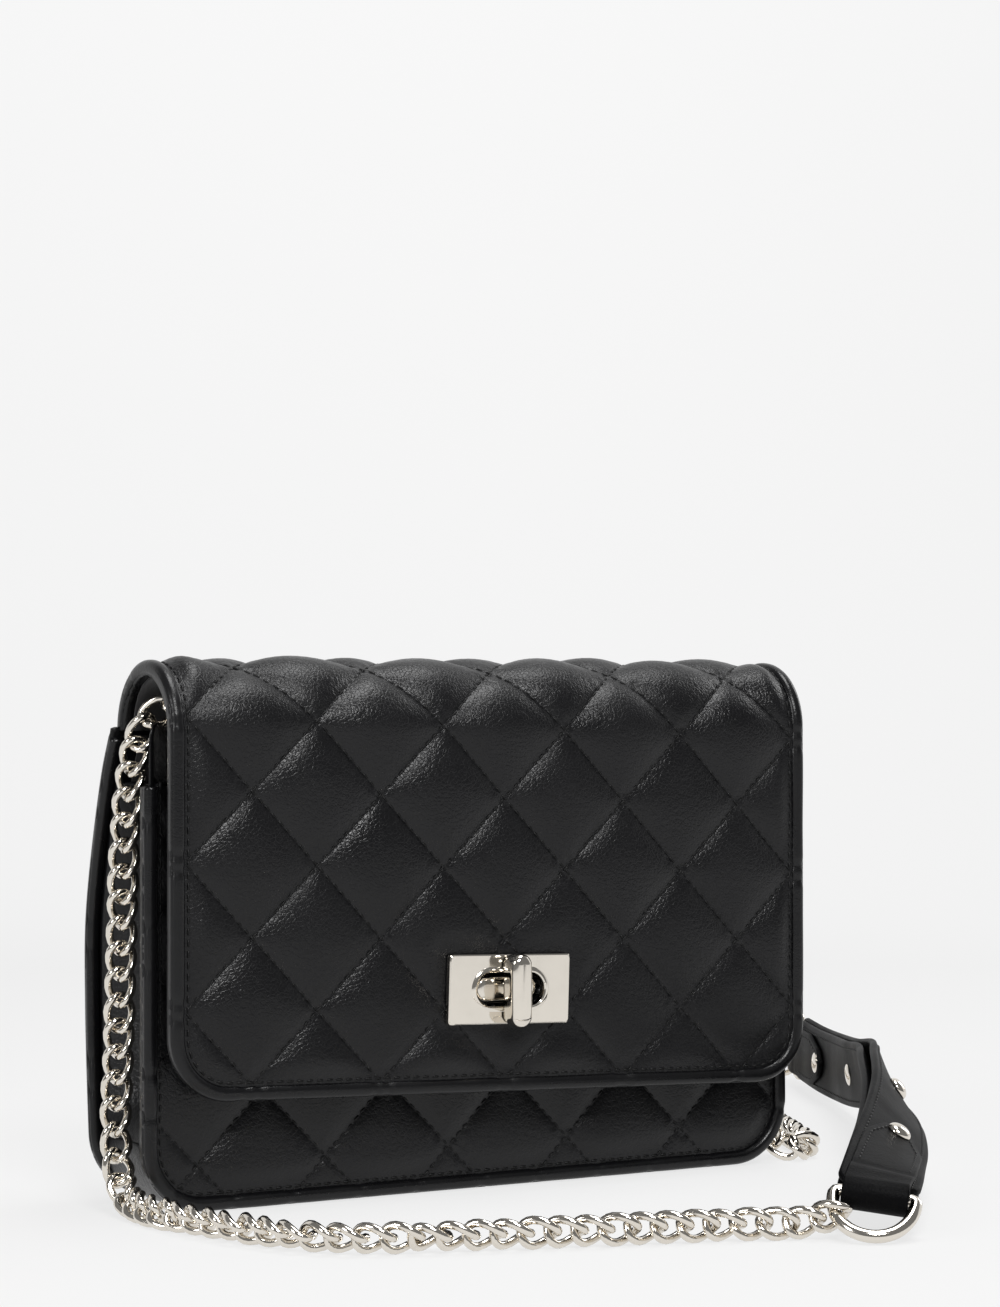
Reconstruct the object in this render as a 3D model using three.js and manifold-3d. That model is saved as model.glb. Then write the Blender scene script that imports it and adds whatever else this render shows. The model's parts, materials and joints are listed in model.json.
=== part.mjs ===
// A small quilted crossbody purse: a wedge-shaped body with folding side gussets, a curved front flap
// closed by a turn lock, and a strap made of two chains and a leather shoulder pad.
// Millimetres. +X is the wearer's right, -Y the front of the purse, +Z up.
// The origin is the centre of the underside of the base.
import * as THREE from 'three';
import { mergeVertices } from 'three/addons/utils/BufferGeometryUtils.js';
import Module from 'manifold-3d';

const wasm = await Module();
wasm.setup();

// ---------- driving dimensions ----------
const gap = 0.3;                  // clearance between pieces that touch
const bodyWidth = 210;
const frontFace = -20;            // outer face of the front panel
const frontHeight = 116;          // top of the front panel and of the gussets
const cornerRadius = 18;          // lower corners of the body
const backLine = [[17, 0], [19, 15], [22, 55], [21.5, 80], [11, 118], [5, 130.5]];
const leather = 1.6;              // outer leather
const padding = 1.6;              // foam under quilted leather
const lining = 0.9;
const baseThickness = 1.8;
const boardThickness = 1.5;

const flapWidth = 205;
const archRadius = 19;            // outer radius of the flap where it bends over the top
const hingeHeight = 131;          // where the flap leaves the back panel
const flapLow = 29;               // lower edge of the flap at its middle
const flapCorner = 17;
const flapLean = 0.03;            // the flap hangs lower towards +X by this slope

const bandRadius = 1.7;           // rolled leather band round the panels
const bandStep = 7;               // the band is drawn in steps of this length
const valleyTop = 15;             // how far the gusset folds inwards at the mouth
const valleyLow = 9;              // and just above the base corner
const gussetInset = 3.5;          // the gussets lie this far inside the body's sides

const plateWidth = 39;
const plateHeight = 19.5;
const plateThickness = 2;
const lockHeight = 58;
const slotWidth = 22;
const slotHeight = 9.5;
const bossWidth = 20.5;           // raised oval of the lock base, seen through the slot
const bossHeight = 7;
const knobWidth = 5.4;
const knobLength = 20.3;
const knobDepth = 7.4;
const spindleRadius = 2;
const washerRadius = 8;

const chainDiameter = 8.5;        // over the links
const chainLie = chainDiameter / 2 + 0.15;   // height of the centre of a chain on the floor
const ringWire = 1.7;             // wire radius of the strap rings
const ringWidth = 25;             // over the straight bar of a strap ring
const ringDepth = 15;
const ringDroop = [0.5, 0];       // how far each strap ring is turned out of the pad's line, radians
const anchorRadius = 5.5;         // to the centre of the anchor ring's wire
const anchorWire = 1.1;
const anchorHeight = 127;         // where the anchor ring passes through its tab

const strapWidth = 22;
const strapThickness = 2.4;       // one of the two layers of the shoulder pad
const tabThickness = 1.2;
const tabLength = 62;             // each leg of the tab, from the ring to its tip
const tabTaper = 18;              // the legs narrow over this length
const tabTip = 0.45;              // to this share of their width
const rivetRadius = 3.3;
const rivetDome = 2;
const rivetShank = 1.3;
const rivetFromEnd = [56, 120];   // along the pad from each ring

const black = new THREE.Color(0x131315);
const darkLining = new THREE.Color(0x1d1b1c);
const foamGrey = new THREE.Color(0x4a4a4c);
const boardBrown = new THREE.Color(0x6d5c48);
const nickel = new THREE.Color(0xd8d2c8);

const makers = {
  leather: () => new THREE.MeshStandardMaterial({ color: black, roughness: 0.42, metalness: 0 }),
  lining: () => new THREE.MeshStandardMaterial({ color: darkLining, roughness: 0.8, metalness: 0 }),
  foam: () => new THREE.MeshStandardMaterial({ color: foamGrey, roughness: 0.95, metalness: 0 }),
  board: () => new THREE.MeshStandardMaterial({ color: boardBrown, roughness: 0.9, metalness: 0 }),
  metal: () => new THREE.MeshStandardMaterial({ color: nickel, roughness: 0.16, metalness: 1 }),
};

const purse = new THREE.Group();

function add(name, finish, geometry, parent = purse) {
  const mesh = new THREE.Mesh(geometry, makers[finish]());
  mesh.name = name;
  parent.add(mesh);
  return mesh;
}

// ---------- solids ----------
function toSolid(geometry) {
  const bare = new THREE.BufferGeometry();
  bare.setAttribute('position', geometry.getAttribute('position'));
  if (geometry.index) bare.setIndex(geometry.index);
  const merged = mergeVertices(bare, 1e-4);
  return new wasm.Manifold(new wasm.Mesh({
    numProp: 3,
    vertProperties: new Float32Array(merged.getAttribute('position').array),
    triVerts: new Uint32Array(merged.index.array),
  }));
}

function toGeometry(manifold) {
  const { vertProperties, triVerts } = manifold.getMesh();
  const geometry = new THREE.BufferGeometry();
  geometry.setAttribute('position', new THREE.BufferAttribute(vertProperties, 3));
  geometry.setIndex(new THREE.BufferAttribute(triVerts, 1));
  return geometry;
}

function cut(geometry, ...tools) {
  return toGeometry(tools.reduce((left, tool) => left.subtract(toSolid(tool)), toSolid(geometry)));
}

function join(geometry, ...others) {
  return toGeometry(others.reduce((whole, other) => whole.add(toSolid(other)), toSolid(geometry)));
}

function common(geometry, other) {
  return toGeometry(toSolid(geometry).intersect(toSolid(other)));
}

function shapeOf(outline) {
  return new THREE.Shape(outline.map(([a, b]) => new THREE.Vector2(a, b)));
}

function extrude(shape, depth) {
  return new THREE.ExtrudeGeometry(shape, { depth, bevelEnabled: false, curveSegments: 8 });
}

// An outline of [y, z] points, extruded across X about the middle.
function acrossX(outline, width) {
  const turn = new THREE.Matrix4().set(0, 0, 1, -width / 2, 1, 0, 0, 0, 0, 1, 0, 0, 0, 0, 0, 1);
  return extrude(shapeOf(outline), width).applyMatrix4(turn);
}

// A shape drawn in X and Z, extruded along Y from its front to its back.
function acrossY(shape, front, back) {
  const turn = new THREE.Matrix4().set(1, 0, 0, 0, 0, 0, -1, back, 0, 1, 0, 0, 0, 0, 0, 1);
  return extrude(shape, back - front).applyMatrix4(turn);
}

// The line that runs beside a row of [a, b] points; a positive distance lies to its left.
function beside(line, distance) {
  return line.map((point, i) => {
    const before = line[Math.max(i - 1, 0)];
    const after = line[Math.min(i + 1, line.length - 1)];
    const into = new THREE.Vector2(point[0] - before[0], point[1] - before[1]).normalize();
    const out = new THREE.Vector2(after[0] - point[0], after[1] - point[1]).normalize();
    const along = into.add(out).normalize();
    return [point[0] - along.y * distance, point[1] + along.x * distance];
  });
}

function strip(line, near, far) {
  return [...beside(line, near), ...beside(line, far).reverse()];
}

// A rectangle with round lower corners; slope lowers it towards +X.
function panelShape(width, low, high, radius, slope = 0) {
  const half = width / 2;
  const shape = new THREE.Shape();
  shape.moveTo(half, high);
  shape.lineTo(-half, high);
  shape.lineTo(-half, low + radius);
  shape.absarc(-half + radius, low + radius, radius, Math.PI, 1.5 * Math.PI, false);
  shape.lineTo(half - radius, low);
  shape.absarc(half - radius, low + radius, radius, 1.5 * Math.PI, 2 * Math.PI, false);
  const points = shape.getPoints(8).map((p) => new THREE.Vector2(p.x, p.y - slope * p.x));
  return new THREE.Shape(points);
}

// An upright or lying slot with round ends, about a centre.
function obround(width, height, centreHeight) {
  const radius = Math.min(width, height) / 2;
  const shiftX = Math.max(width / 2 - radius, 0);
  const shiftZ = Math.max(height / 2 - radius, 0);
  const shape = new THREE.Shape();
  if (width >= height) {
    shape.absarc(shiftX, centreHeight, radius, -Math.PI / 2, Math.PI / 2, false);
    shape.absarc(-shiftX, centreHeight, radius, Math.PI / 2, 1.5 * Math.PI, false);
  } else {
    shape.absarc(0, centreHeight + shiftZ, radius, 0, Math.PI, false);
    shape.absarc(0, centreHeight - shiftZ, radius, Math.PI, 2 * Math.PI, false);
  }
  return shape;
}

function disc(radius, centreX, centreHeight) {
  const shape = new THREE.Shape();
  shape.absarc(centreX, centreHeight, radius, 0, 2 * Math.PI, false);
  return shape;
}

function roundSection(radius, sides) {
  const corner = (i) => (i * 2 * Math.PI) / sides;
  const points = Array.from({ length: sides }, (_, i) => [
    radius * Math.cos(corner(i)), radius * Math.sin(corner(i)),
  ]);
  return shapeOf(points);
}

// A tube along a row of points, with steps of about the given length.
function tube(points, radius, sides, step) {
  const path = new THREE.CatmullRomCurve3(points, false, 'centripetal');
  const steps = Math.round(path.getLength() / step);
  return new THREE.ExtrudeGeometry(roundSection(radius, sides), {
    steps, extrudePath: path, bevelEnabled: false,
  });
}

// A solid through a row of matching rings of points; flat is one ring laid out in two dimensions.
function loft(rings, flat) {
  const size = flat.length;
  const caps = THREE.ShapeUtils.triangulateShape(flat, []);
  const last = (rings.length - 1) * size;
  const faces = [];
  for (const [a, b, c] of caps) {
    faces.push(a, c, b);
    faces.push(last + a, last + b, last + c);
  }
  for (let ring = 0; ring < rings.length - 1; ring += 1) {
    for (let i = 0; i < size; i += 1) {
      const next = (i + 1) % size;
      const low = ring * size;
      const high = low + size;
      faces.push(low + i, low + next, high + next, low + i, high + next, high + i);
    }
  }
  const geometry = new THREE.BufferGeometry();
  geometry.setAttribute('position', new THREE.Float32BufferAttribute(rings.flat(2), 3));
  geometry.setIndex(faces);
  return geometry;
}

// ---------- lines that the panels follow ----------
const backPoints = new THREE.SplineCurve(backLine.map(([y, z]) => new THREE.Vector2(y, z)))
  .getPoints(22).map((p) => [p.x, p.y]);
const backAt = (height) => {
  const i = Math.max(1, backPoints.findIndex(([, z]) => z >= height));
  const [[y0, z0], [y1, z1]] = [backPoints[i - 1], backPoints[i]];
  return y0 + ((y1 - y0) * (height - z0)) / (z1 - z0);
};
const hingeY = backPoints[backPoints.length - 1][0];
const archCentre = hingeY - archRadius;
const flapFace = hingeY - 2 * archRadius;
const archSteps = 12;
const flapPoints = [
  ...Array.from({ length: archSteps + 1 }, (_, i) => {
    const angle = (i * Math.PI) / archSteps;
    return [archCentre + archRadius * Math.cos(angle), hingeHeight + archRadius * Math.sin(angle)];
  }),
  [flapFace, 10],
];
const bodyHalf = bodyWidth / 2 - 2 * bandRadius - gap;     // panels end inside their edge bands
const layer1 = leather + gap;
const layer2 = layer1 + padding + gap;
const panelDepth = layer2 + lining;                        // a quilted panel with its lining

// ---------- body ----------
function frontLayer(from, thickness, halfWidth, low) {
  const shape = panelShape(2 * halfWidth, low, frontHeight, cornerRadius - (bodyWidth / 2 - halfWidth));
  return acrossY(shape, frontFace + from, frontFace + from + thickness);
}

const spindleHole = acrossY(disc(spindleRadius + gap, 0, lockHeight), frontFace - 10, 0);
const bandLift = 2 * bandRadius + gap + 0.1;
const innerHalf = bodyWidth / 2 - 9;
const innerLow = Math.max(baseThickness + boardThickness + 3 * gap, bandLift + gap);

add('front_panel', 'leather', cut(frontLayer(0, leather, bodyHalf, bandLift), spindleHole));
add('front_padding', 'foam', cut(frontLayer(layer1, padding, innerHalf, innerLow), spindleHole));

const washerPocket = acrossY(disc(washerRadius + gap, 0, lockHeight), frontFace + layer2 - gap, 0);
add('front_lining', 'lining', cut(frontLayer(layer2, lining, innerHalf, innerLow), washerPocket));

function backLayer(near, far, halfWidth, low, high) {
  const sheet = acrossX(strip(backPoints, near, far), 2 * halfWidth);
  const radius = cornerRadius - (bodyWidth / 2 - halfWidth);
  return common(sheet, acrossY(panelShape(2 * halfWidth, low, high, radius), -60, 60));
}

add('back_panel', 'leather', backLayer(0, leather, bodyHalf, bandLift, hingeHeight - gap));
add('back_lining', 'lining',
  backLayer(leather + gap, leather + gap + lining, innerHalf, innerLow, hingeHeight - 2));
const pocketDepth = leather + lining + 2 * gap;
add('inner_pocket', 'lining', common(
  acrossX(strip(backPoints, pocketDepth, pocketDepth + lining), 120),
  acrossY(panelShape(120, 25, 98, 6), -60, 60),
));

// The base is a strip that turns up round both lower corners, between the front and back bands.
const stripFront = frontFace + 2 * bandRadius + gap - 0.6;
const stripHalf = bodyWidth / 2 - gussetInset;
const stripRadius = cornerRadius - gussetInset;
const cornerTop = cornerRadius;

function trayShape(halfWidth, low, radius, thickness) {
  const outer = panelShape(2 * halfWidth, low, cornerTop, radius).getPoints();
  const inner = panelShape(2 * (halfWidth - thickness), low + thickness, cornerTop,
    radius - thickness).getPoints();
  return new THREE.Shape([...outer.slice(1), outer[0], inner[0], ...inner.slice(1).reverse()]);
}

const backBandInside = (height) => backAt(height) - 2 * bandRadius - gap;
const stripBack = backBandInside(0);
add('base_panel', 'leather',
  acrossY(trayShape(stripHalf, 0, stripRadius, baseThickness), stripFront, stripBack));
const boardHalf = stripHalf - stripRadius;
const boardShape = shapeOf([
  [-boardHalf, baseThickness + gap], [boardHalf, baseThickness + gap],
  [boardHalf, baseThickness + gap + boardThickness], [-boardHalf, baseThickness + gap + boardThickness],
]);
add('base_board', 'board', acrossY(boardShape, frontFace + panelDepth + gap, stripBack - lining - gap));

// Gussets: a leather sheet folded inwards into a valley, deeper towards the mouth.
const gussetLow = cornerTop + gap;
const gussetLevels = [0, 0.16, 0.38, 0.63, 0.84, 1]
  .map((share) => gussetLow + share * (frontHeight - gussetLow));
function gussetRing(side, height) {
  const up = (height - cornerTop) / (frontHeight - cornerTop);
  const depth = valleyLow + (valleyTop - valleyLow) * up;
  const back = backBandInside(height);
  const middle = (stripFront + back) / 2;
  const line = [[stripHalf, stripFront], [stripHalf - depth, middle], [stripHalf, back]];
  const inner = [[stripHalf - leather, back], [stripHalf - depth - leather, middle],
    [stripHalf - leather, stripFront]];
  const ring = [...line, ...inner].map(([x, y]) => [side * x, y, height]);
  return side > 0 ? ring : ring.reverse();
}
for (const [side, name] of [[-1, 'gusset_left'], [1, 'gusset_right']]) {
  const rings = gussetLevels.map((height) => gussetRing(side, height));
  add(name, 'leather', loft(rings, rings[0].map(([x, y]) => new THREE.Vector2(x, y))));
}

// Rolled bands round the front and back panels, and a binding over the front of the mouth.
const bandHalf = bodyWidth / 2 - bandRadius;
function bandPath(depthAt, high) {
  const points = panelShape(2 * bandHalf, bandRadius + 0.1, high, cornerRadius - bandRadius)
    .getPoints().slice(1);
  points.push(new THREE.Vector2(bandHalf, high));
  const sides = [0.39, 0.69, 0.9].map((share) => share * high);
  const left = sides.map((z) => new THREE.Vector2(-bandHalf, z)).reverse();
  const right = sides.map((z) => new THREE.Vector2(bandHalf, z));
  const route = [points[0], ...left, ...points.slice(1, -1), ...right, points[points.length - 1]];
  return route.map((p) => new THREE.Vector3(p.x, depthAt(p.y), p.y));
}
add('front_band', 'leather',
  tube(bandPath(() => frontFace + bandRadius - 0.6, frontHeight), bandRadius, 6, bandStep));
add('back_band', 'leather', tube(bandPath((z) => backAt(z) - bandRadius, 124), bandRadius, 6, bandStep));
add('mouth_binding', 'leather', acrossX([
  [frontFace - 0.2, frontHeight + gap], [frontFace + panelDepth, frontHeight + gap],
  [frontFace + panelDepth, frontHeight + 2.4], [frontFace - 0.2, frontHeight + 2.4],
], 2 * innerHalf));

// ---------- flap ----------
const flap = new THREE.Group();
purse.add(flap);
const flapInner = flapWidth - 4 * bandRadius - 2 * gap;
const flapHigh = 170;
function flapLayer(near, far, width, rise) {
  const sheet = acrossX(strip(flapPoints, near, far), width);
  const radius = flapCorner - (flapWidth - width) / 2;
  const outline = panelShape(width, flapLow + rise, flapHigh, radius, flapLean);
  return common(sheet, acrossY(outline, -80, 60));
}
const flapRise = 2 * bandRadius + gap;
const lockTurn = new THREE.Matrix4().makeTranslation(0, 0, lockHeight)
  .multiply(new THREE.Matrix4().makeRotationY(flapLean))
  .multiply(new THREE.Matrix4().makeTranslation(0, 0, -lockHeight));
const flapSlot = acrossY(obround(slotWidth + 2, slotHeight + 2, lockHeight), -80, 0)
  .applyMatrix4(lockTurn);
const flapBack = flapFace + panelDepth;
add('flap_panel', 'leather', cut(flapLayer(0, leather, flapInner, flapRise), flapSlot), flap);
add('flap_padding', 'foam',
  cut(flapLayer(layer1, layer1 + padding, flapInner - 4, flapRise + 2), flapSlot), flap);
add('flap_lining', 'lining',
  cut(flapLayer(layer2, layer2 + lining, flapInner, flapRise), flapSlot), flap);

const flapBandPoints = (() => {
  const half = flapWidth / 2 - bandRadius;
  const middle = beside(flapPoints, panelDepth / 2).slice(0, archSteps + 1);
  const arch = (side) => middle.map(([y, z]) => new THREE.Vector3(side * half, y, z));
  const face = flapFace + panelDepth / 2;
  const lower = panelShape(2 * half, flapLow + bandRadius, 100, flapCorner - bandRadius, flapLean)
    .getPoints().slice(1).map((p) => new THREE.Vector3(p.x, face, p.y));
  return [...arch(-1), ...lower, new THREE.Vector3(half, face, 100 - flapLean * half),
    ...arch(1).reverse()];
})();
add('flap_band', 'leather', tube(flapBandPoints, bandRadius, 6, bandStep), flap);

// ---------- turn lock ----------
const plateFront = flapFace - gap - plateThickness;
const plateShape = shapeOf([
  [-plateWidth / 2, lockHeight - plateHeight / 2], [plateWidth / 2, lockHeight - plateHeight / 2],
  [plateWidth / 2, lockHeight + plateHeight / 2], [-plateWidth / 2, lockHeight + plateHeight / 2],
]);
const plateSlot = acrossY(obround(slotWidth, slotHeight, lockHeight), -80, 0);
add('lock_plate', 'metal',
  cut(acrossY(plateShape, plateFront, plateFront + plateThickness), plateSlot)
    .applyMatrix4(lockTurn), flap);
add('flap_back_plate', 'metal',
  cut(acrossY(plateShape, flapBack + gap, flapBack + gap + 0.8), plateSlot)
    .applyMatrix4(lockTurn), flap);

const spindleBore = acrossY(disc(spindleRadius + 0.1, 0, lockHeight), -60, 0);
const bossFront = flapFace + 3;
const baseFront = frontFace - gap - 1.2;
const lockBase = join(
  acrossY(obround(bossWidth + 4, bossHeight + 6, lockHeight), baseFront, frontFace - gap),
  acrossY(obround(bossWidth, bossHeight, lockHeight), bossFront, baseFront + 0.2),
);
add('lock_base', 'metal', cut(lockBase, spindleBore));

const knob = new THREE.Group();
purse.add(knob);
const knobBack = plateFront - 0.6;
const spindleEnd = frontFace + panelDepth + 1.6;
add('turn_knob', 'metal', join(
  acrossY(obround(knobWidth, knobLength, lockHeight), knobBack - knobDepth, knobBack),
  acrossY(disc(spindleRadius, 0, lockHeight), knobBack - 1, spindleEnd),
), knob);

const washerHole = acrossY(disc(spindleRadius + 0.2, 0, lockHeight), -60, 60);
const washerBack = frontFace + layer2;
add('lock_washer', 'metal',
  cut(acrossY(disc(washerRadius, 0, lockHeight), washerBack, washerBack + 0.8), washerHole));
add('lock_spring', 'metal', cut(
  acrossY(disc(4.6, 0, lockHeight), washerBack + 0.8 + gap, washerBack + 1.4 + gap), washerHole));

// ---------- strap anchors ----------
const anchorX = bodyWidth / 2 - 17;
const anchorY = -9;
const anchors = new THREE.Group();
purse.add(anchors);
for (const [side, name] of [[-1, 'left'], [1, 'right']]) {
  const thick = 3;
  const half = 2.6;
  const tabShape = shapeOf([
    [-half, frontHeight + gap], [half, frontHeight + gap],
    [half, anchorHeight + 3], [-half, anchorHeight + 3],
  ]);
  const eye = new THREE.CylinderGeometry(anchorWire + 0.9, anchorWire + 0.9, 20, 12)
    .translate(side * anchorX, anchorY, anchorHeight);
  const tab = acrossY(tabShape, anchorY - thick / 2, anchorY + thick / 2)
    .translate(side * anchorX, 0, 0);
  add(`anchor_tab_${name}`, 'leather', cut(tab, eye));
  const ring = new THREE.TorusGeometry(anchorRadius, anchorWire, 6, 18).rotateY(Math.PI / 2);
  add(`anchor_ring_${name}`, 'metal',
    ring.translate(side * anchorX, anchorY, anchorHeight + anchorRadius), anchors);
}

// ---------- chains ----------
const lie = chainLie;
const leftRoute = [
  [-91.5, -9, 133.5], [-96.5, -8.6, 132.5], [-100.5, -7.4, 127], [-102.5, -5.4, 118], [-103.6, -3.6, 100],
  [-104.2, -2.6, 70], [-105, -2.6, 42], [-106.2, -3.6, 24], [-107.2, -8, 11.5], [-108.2, -16, 5.6],
  [-109.2, -27, lie], [-107.6, -42, lie], [-104, -56, lie], [-99.5, -71, lie], [-93, -86, lie],
  [-84, -97, lie], [-72, -103.5, lie], [-57, -108.5, lie], [-40, -114, lie], [-21, -119.5, lie],
  [-3, -124.5, lie], [10, -128.5, lie], [19, -131.6, lie], [26.5, -135, lie],
];
const rightRoute = [
  [91.5, -9, 133.5], [96.5, -8.6, 132.5], [100.5, -7.4, 127], [102.5, -5.4, 118], [103.6, -3.6, 100],
  [104.2, -3, 70], [104.8, -3, 42], [105.8, -4, 24], [106, -6.5, 14], [106, -10.5, 7.2],
  [106.5, -15, lie], [108.6, -18.6, lie], [112, -19.4, lie], [115.2, -16.8, lie], [117.2, -11.5, lie],
  [120.6, -3, lie], [126, 10, lie], [133, 28, lie], [140, 46, lie], [148, 64, lie], [157, 84, lie],
  [167, 103, lie], [178, 121, lie], [190, 137, lie], [202, 148.5, lie], [212, 153, lie],
  [221.5, 152.5, lie + 0.6],
];
const toVectors = (points) => points.map(([x, y, z]) => new THREE.Vector3(x, y, z));
add('chain_left', 'metal', tube(toVectors(leftRoute), chainDiameter / 2, 8, chainDiameter));
add('chain_right', 'metal', tube(toVectors(rightRoute), chainDiameter / 2, 8, chainDiameter));

// ---------- shoulder pad, standing half on its edge ----------
// Each station is a point of the centre line and the direction across the pad.
const padRoute = [
  [48, -141.5, 10.7, -0.86, 0.5, 0.1], [59, -129, 12.5, -0.84, 0.5, 0.26],
  [75, -110, 14.5, -0.78, 0.45, 0.44], [92, -90, 17, -0.7, 0.4, 0.6],
  [113, -62, 20.5, -0.55, 0.32, 0.77], [131, -33, 23, -0.4, 0.2, 0.9],
  [151, -2, 21.5, -0.24, 0.1, 0.96], [169, 32, 17.5, -0.08, 0.04, 1],
  [186, 64, 15, 0, 0, 1], [200, 94, 14, 0, 0, 1], [212, 119, 13.8, 0, 0, 1],
  [219.5, 134.5, 13.8, 0, 0, 1],
];
const padLine = new THREE.CatmullRomCurve3(toVectors(padRoute), false, 'centripetal');
const padAcross = new THREE.CatmullRomCurve3(
  padRoute.map(([, , , x, y, z]) => new THREE.Vector3(x, y, z)), false, 'centripetal');
const padLength = padLine.getLength();

// The place, the direction along, across and out of the pad's face at a distance from one end.
function padFrame(distance) {
  const share = distance / padLength;
  const t = padLine.getUtoTmapping(share);
  const along = padLine.getTangent(t).normalize();
  const across = padAcross.getPoint(t);
  across.addScaledVector(along, -across.dot(along)).normalize();
  const face = new THREE.Vector3().crossVectors(along, across);
  return { place: padLine.getPoint(t), along, across, face };
}

const frameMatrix = ({ place, along, across, face }) => new THREE.Matrix4()
  .makeBasis(along, across, face).setPosition(place);

function padSheet(from, to, near, far, halfWidth, steps) {
  const corners = [[-halfWidth, near], [halfWidth, near], [halfWidth, far], [-halfWidth, far]];
  const rings = Array.from({ length: steps + 1 }, (_, i) => {
    const { place, across, face } = padFrame(from + ((to - from) * i) / steps);
    return corners.map(([a, b]) => place.clone().addScaledVector(across, a)
      .addScaledVector(face, b).toArray());
  });
  return loft(rings, corners.map(([a, b]) => new THREE.Vector2(a, b)));
}

// The same seen from one of the two rings, with along pointing into the pad.
function endFrame(end, distance) {
  if (end === 0) return padFrame(distance);
  const frame = padFrame(padLength - distance);
  frame.along.negate();
  frame.face.negate();
  return frame;
}

const padEnd = ringWire + tabThickness + 2 * gap + 0.4;
const rivetSpots = rivetFromEnd.flatMap((d) => [d, padLength - d]);
const shankHole = (distance) => new THREE.CylinderGeometry(rivetShank + 0.2, rivetShank + 0.2, 16, 8)
  .rotateX(Math.PI / 2).applyMatrix4(frameMatrix(padFrame(distance)));
const padHoles = rivetSpots.map(shankHole);
add('shoulder_pad', 'leather', cut(padSheet(padEnd, padLength - padEnd, gap / 2,
  gap / 2 + strapThickness, strapWidth / 2, 26), ...padHoles));
add('pad_backing', 'leather', cut(padSheet(padEnd, padLength - padEnd, -gap / 2 - strapThickness,
  -gap / 2, strapWidth / 2 - 0.4, 26), ...padHoles));

// A tab folds round the straight bar of its ring and lies on both faces of the pad.
const tabInside = strapThickness + gap / 2 + gap;
const tabWidth = ringWidth - 4 * ringWire - 4 * gap;
const legSteps = 12;
const bendSteps = 8;
function tabGeometry(end) {
  const leg = Array.from({ length: legSteps + 1 }, (_, i) => (tabLength * i) / legSteps);
  const bend = Array.from({ length: bendSteps - 1 }, (_, i) => (Math.PI * (i + 1)) / bendSteps);
  const stations = [
    ...leg.slice().reverse().map((distance) => [distance, -Math.PI / 2]),
    ...bend.map((angle) => [0, angle - Math.PI / 2]),
    ...leg.map((distance) => [distance, Math.PI / 2]),
  ];
  const near = tabInside;
  const far = tabInside + tabThickness;
  const flat = [[-1, near], [1, near], [1, far], [-1, far]];
  const rings = stations.map(([distance, angle]) => {
    const narrowed = Math.max(0, (distance - tabLength + tabTaper) / tabTaper);
    const half = (tabWidth / 2) * (1 - (1 - tabTip) * narrowed);
    const { place, along, across, face } = endFrame(end, distance);
    const outward = face.multiplyScalar(Math.sin(angle)).addScaledVector(along, -Math.cos(angle));
    return flat.map(([a, b]) => place.clone().addScaledVector(across, a * half)
      .addScaledVector(outward, b).toArray());
  });
  return loft(rings, flat.map(([a, b]) => new THREE.Vector2(a, b)));
}

// A strap ring hangs from its bar, turned down out of the line of the pad by its droop.
function strapRing(frame, droop) {
  const half = ringWidth / 2 - ringWire;
  const bend = Array.from({ length: 13 }, (_, i) => {
    const angle = (i * Math.PI) / 12;
    return new THREE.Vector3(-ringDepth * Math.sin(angle), half * Math.cos(angle), 0);
  });
  const bar = new THREE.CylinderGeometry(ringWire, ringWire, 2 * half, 8);
  const corners = [-half, half].map((y) => new THREE.SphereGeometry(ringWire * 1.04, 6, 5)
    .translate(0, y, 0));
  return join(tube(bend, ringWire, 6, 2 * ringWire), bar, ...corners).rotateY(-droop)
    .applyMatrix4(frameMatrix(frame));
}

const domeProfile = (sign, from, height) => {
  const points = Array.from({ length: 5 }, (_, i) => {
    const angle = (i * Math.PI) / 8;
    return new THREE.Vector2(rivetRadius * Math.cos(angle), sign * (from + height * Math.sin(angle)));
  });
  return sign > 0
    ? [new THREE.Vector2(0, from), ...points] : [new THREE.Vector2(0, -from), ...points].reverse();
};

function rivet(distance, stack) {
  const from = stack + gap;
  const dome = new THREE.LatheGeometry(domeProfile(1, from, rivetDome), 10);
  const cap = new THREE.LatheGeometry(domeProfile(-1, from, rivetDome * 0.5), 10);
  const shank = new THREE.CylinderGeometry(rivetShank, rivetShank, 2 * from + 0.8, 8);
  return join(dome, cap, shank).rotateX(Math.PI / 2).applyMatrix4(frameMatrix(padFrame(distance)));
}

const tabStack = tabInside + tabThickness;
const padStack = strapThickness + gap / 2;
for (const [end, name] of [[0, 'front'], [1, 'rear']]) {
  const spot = (offset) => (end ? padLength - offset : offset);
  add(`strap_tab_${name}`, 'leather', cut(tabGeometry(end), shankHole(spot(rivetFromEnd[0]))));
  add(`strap_ring_${name}`, 'metal', strapRing(endFrame(end, 0), ringDroop[end]));
  add(`tab_rivet_${name}`, 'metal', rivet(spot(rivetFromEnd[0]), tabStack));
  add(`pad_rivet_${name}`, 'metal', rivet(spot(rivetFromEnd[1]), padStack));
}

export default purse;
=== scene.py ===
"""A small quilted crossbody purse in black coated leather, with a nickel turn lock and a chain strap."""

import json
import math

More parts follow.
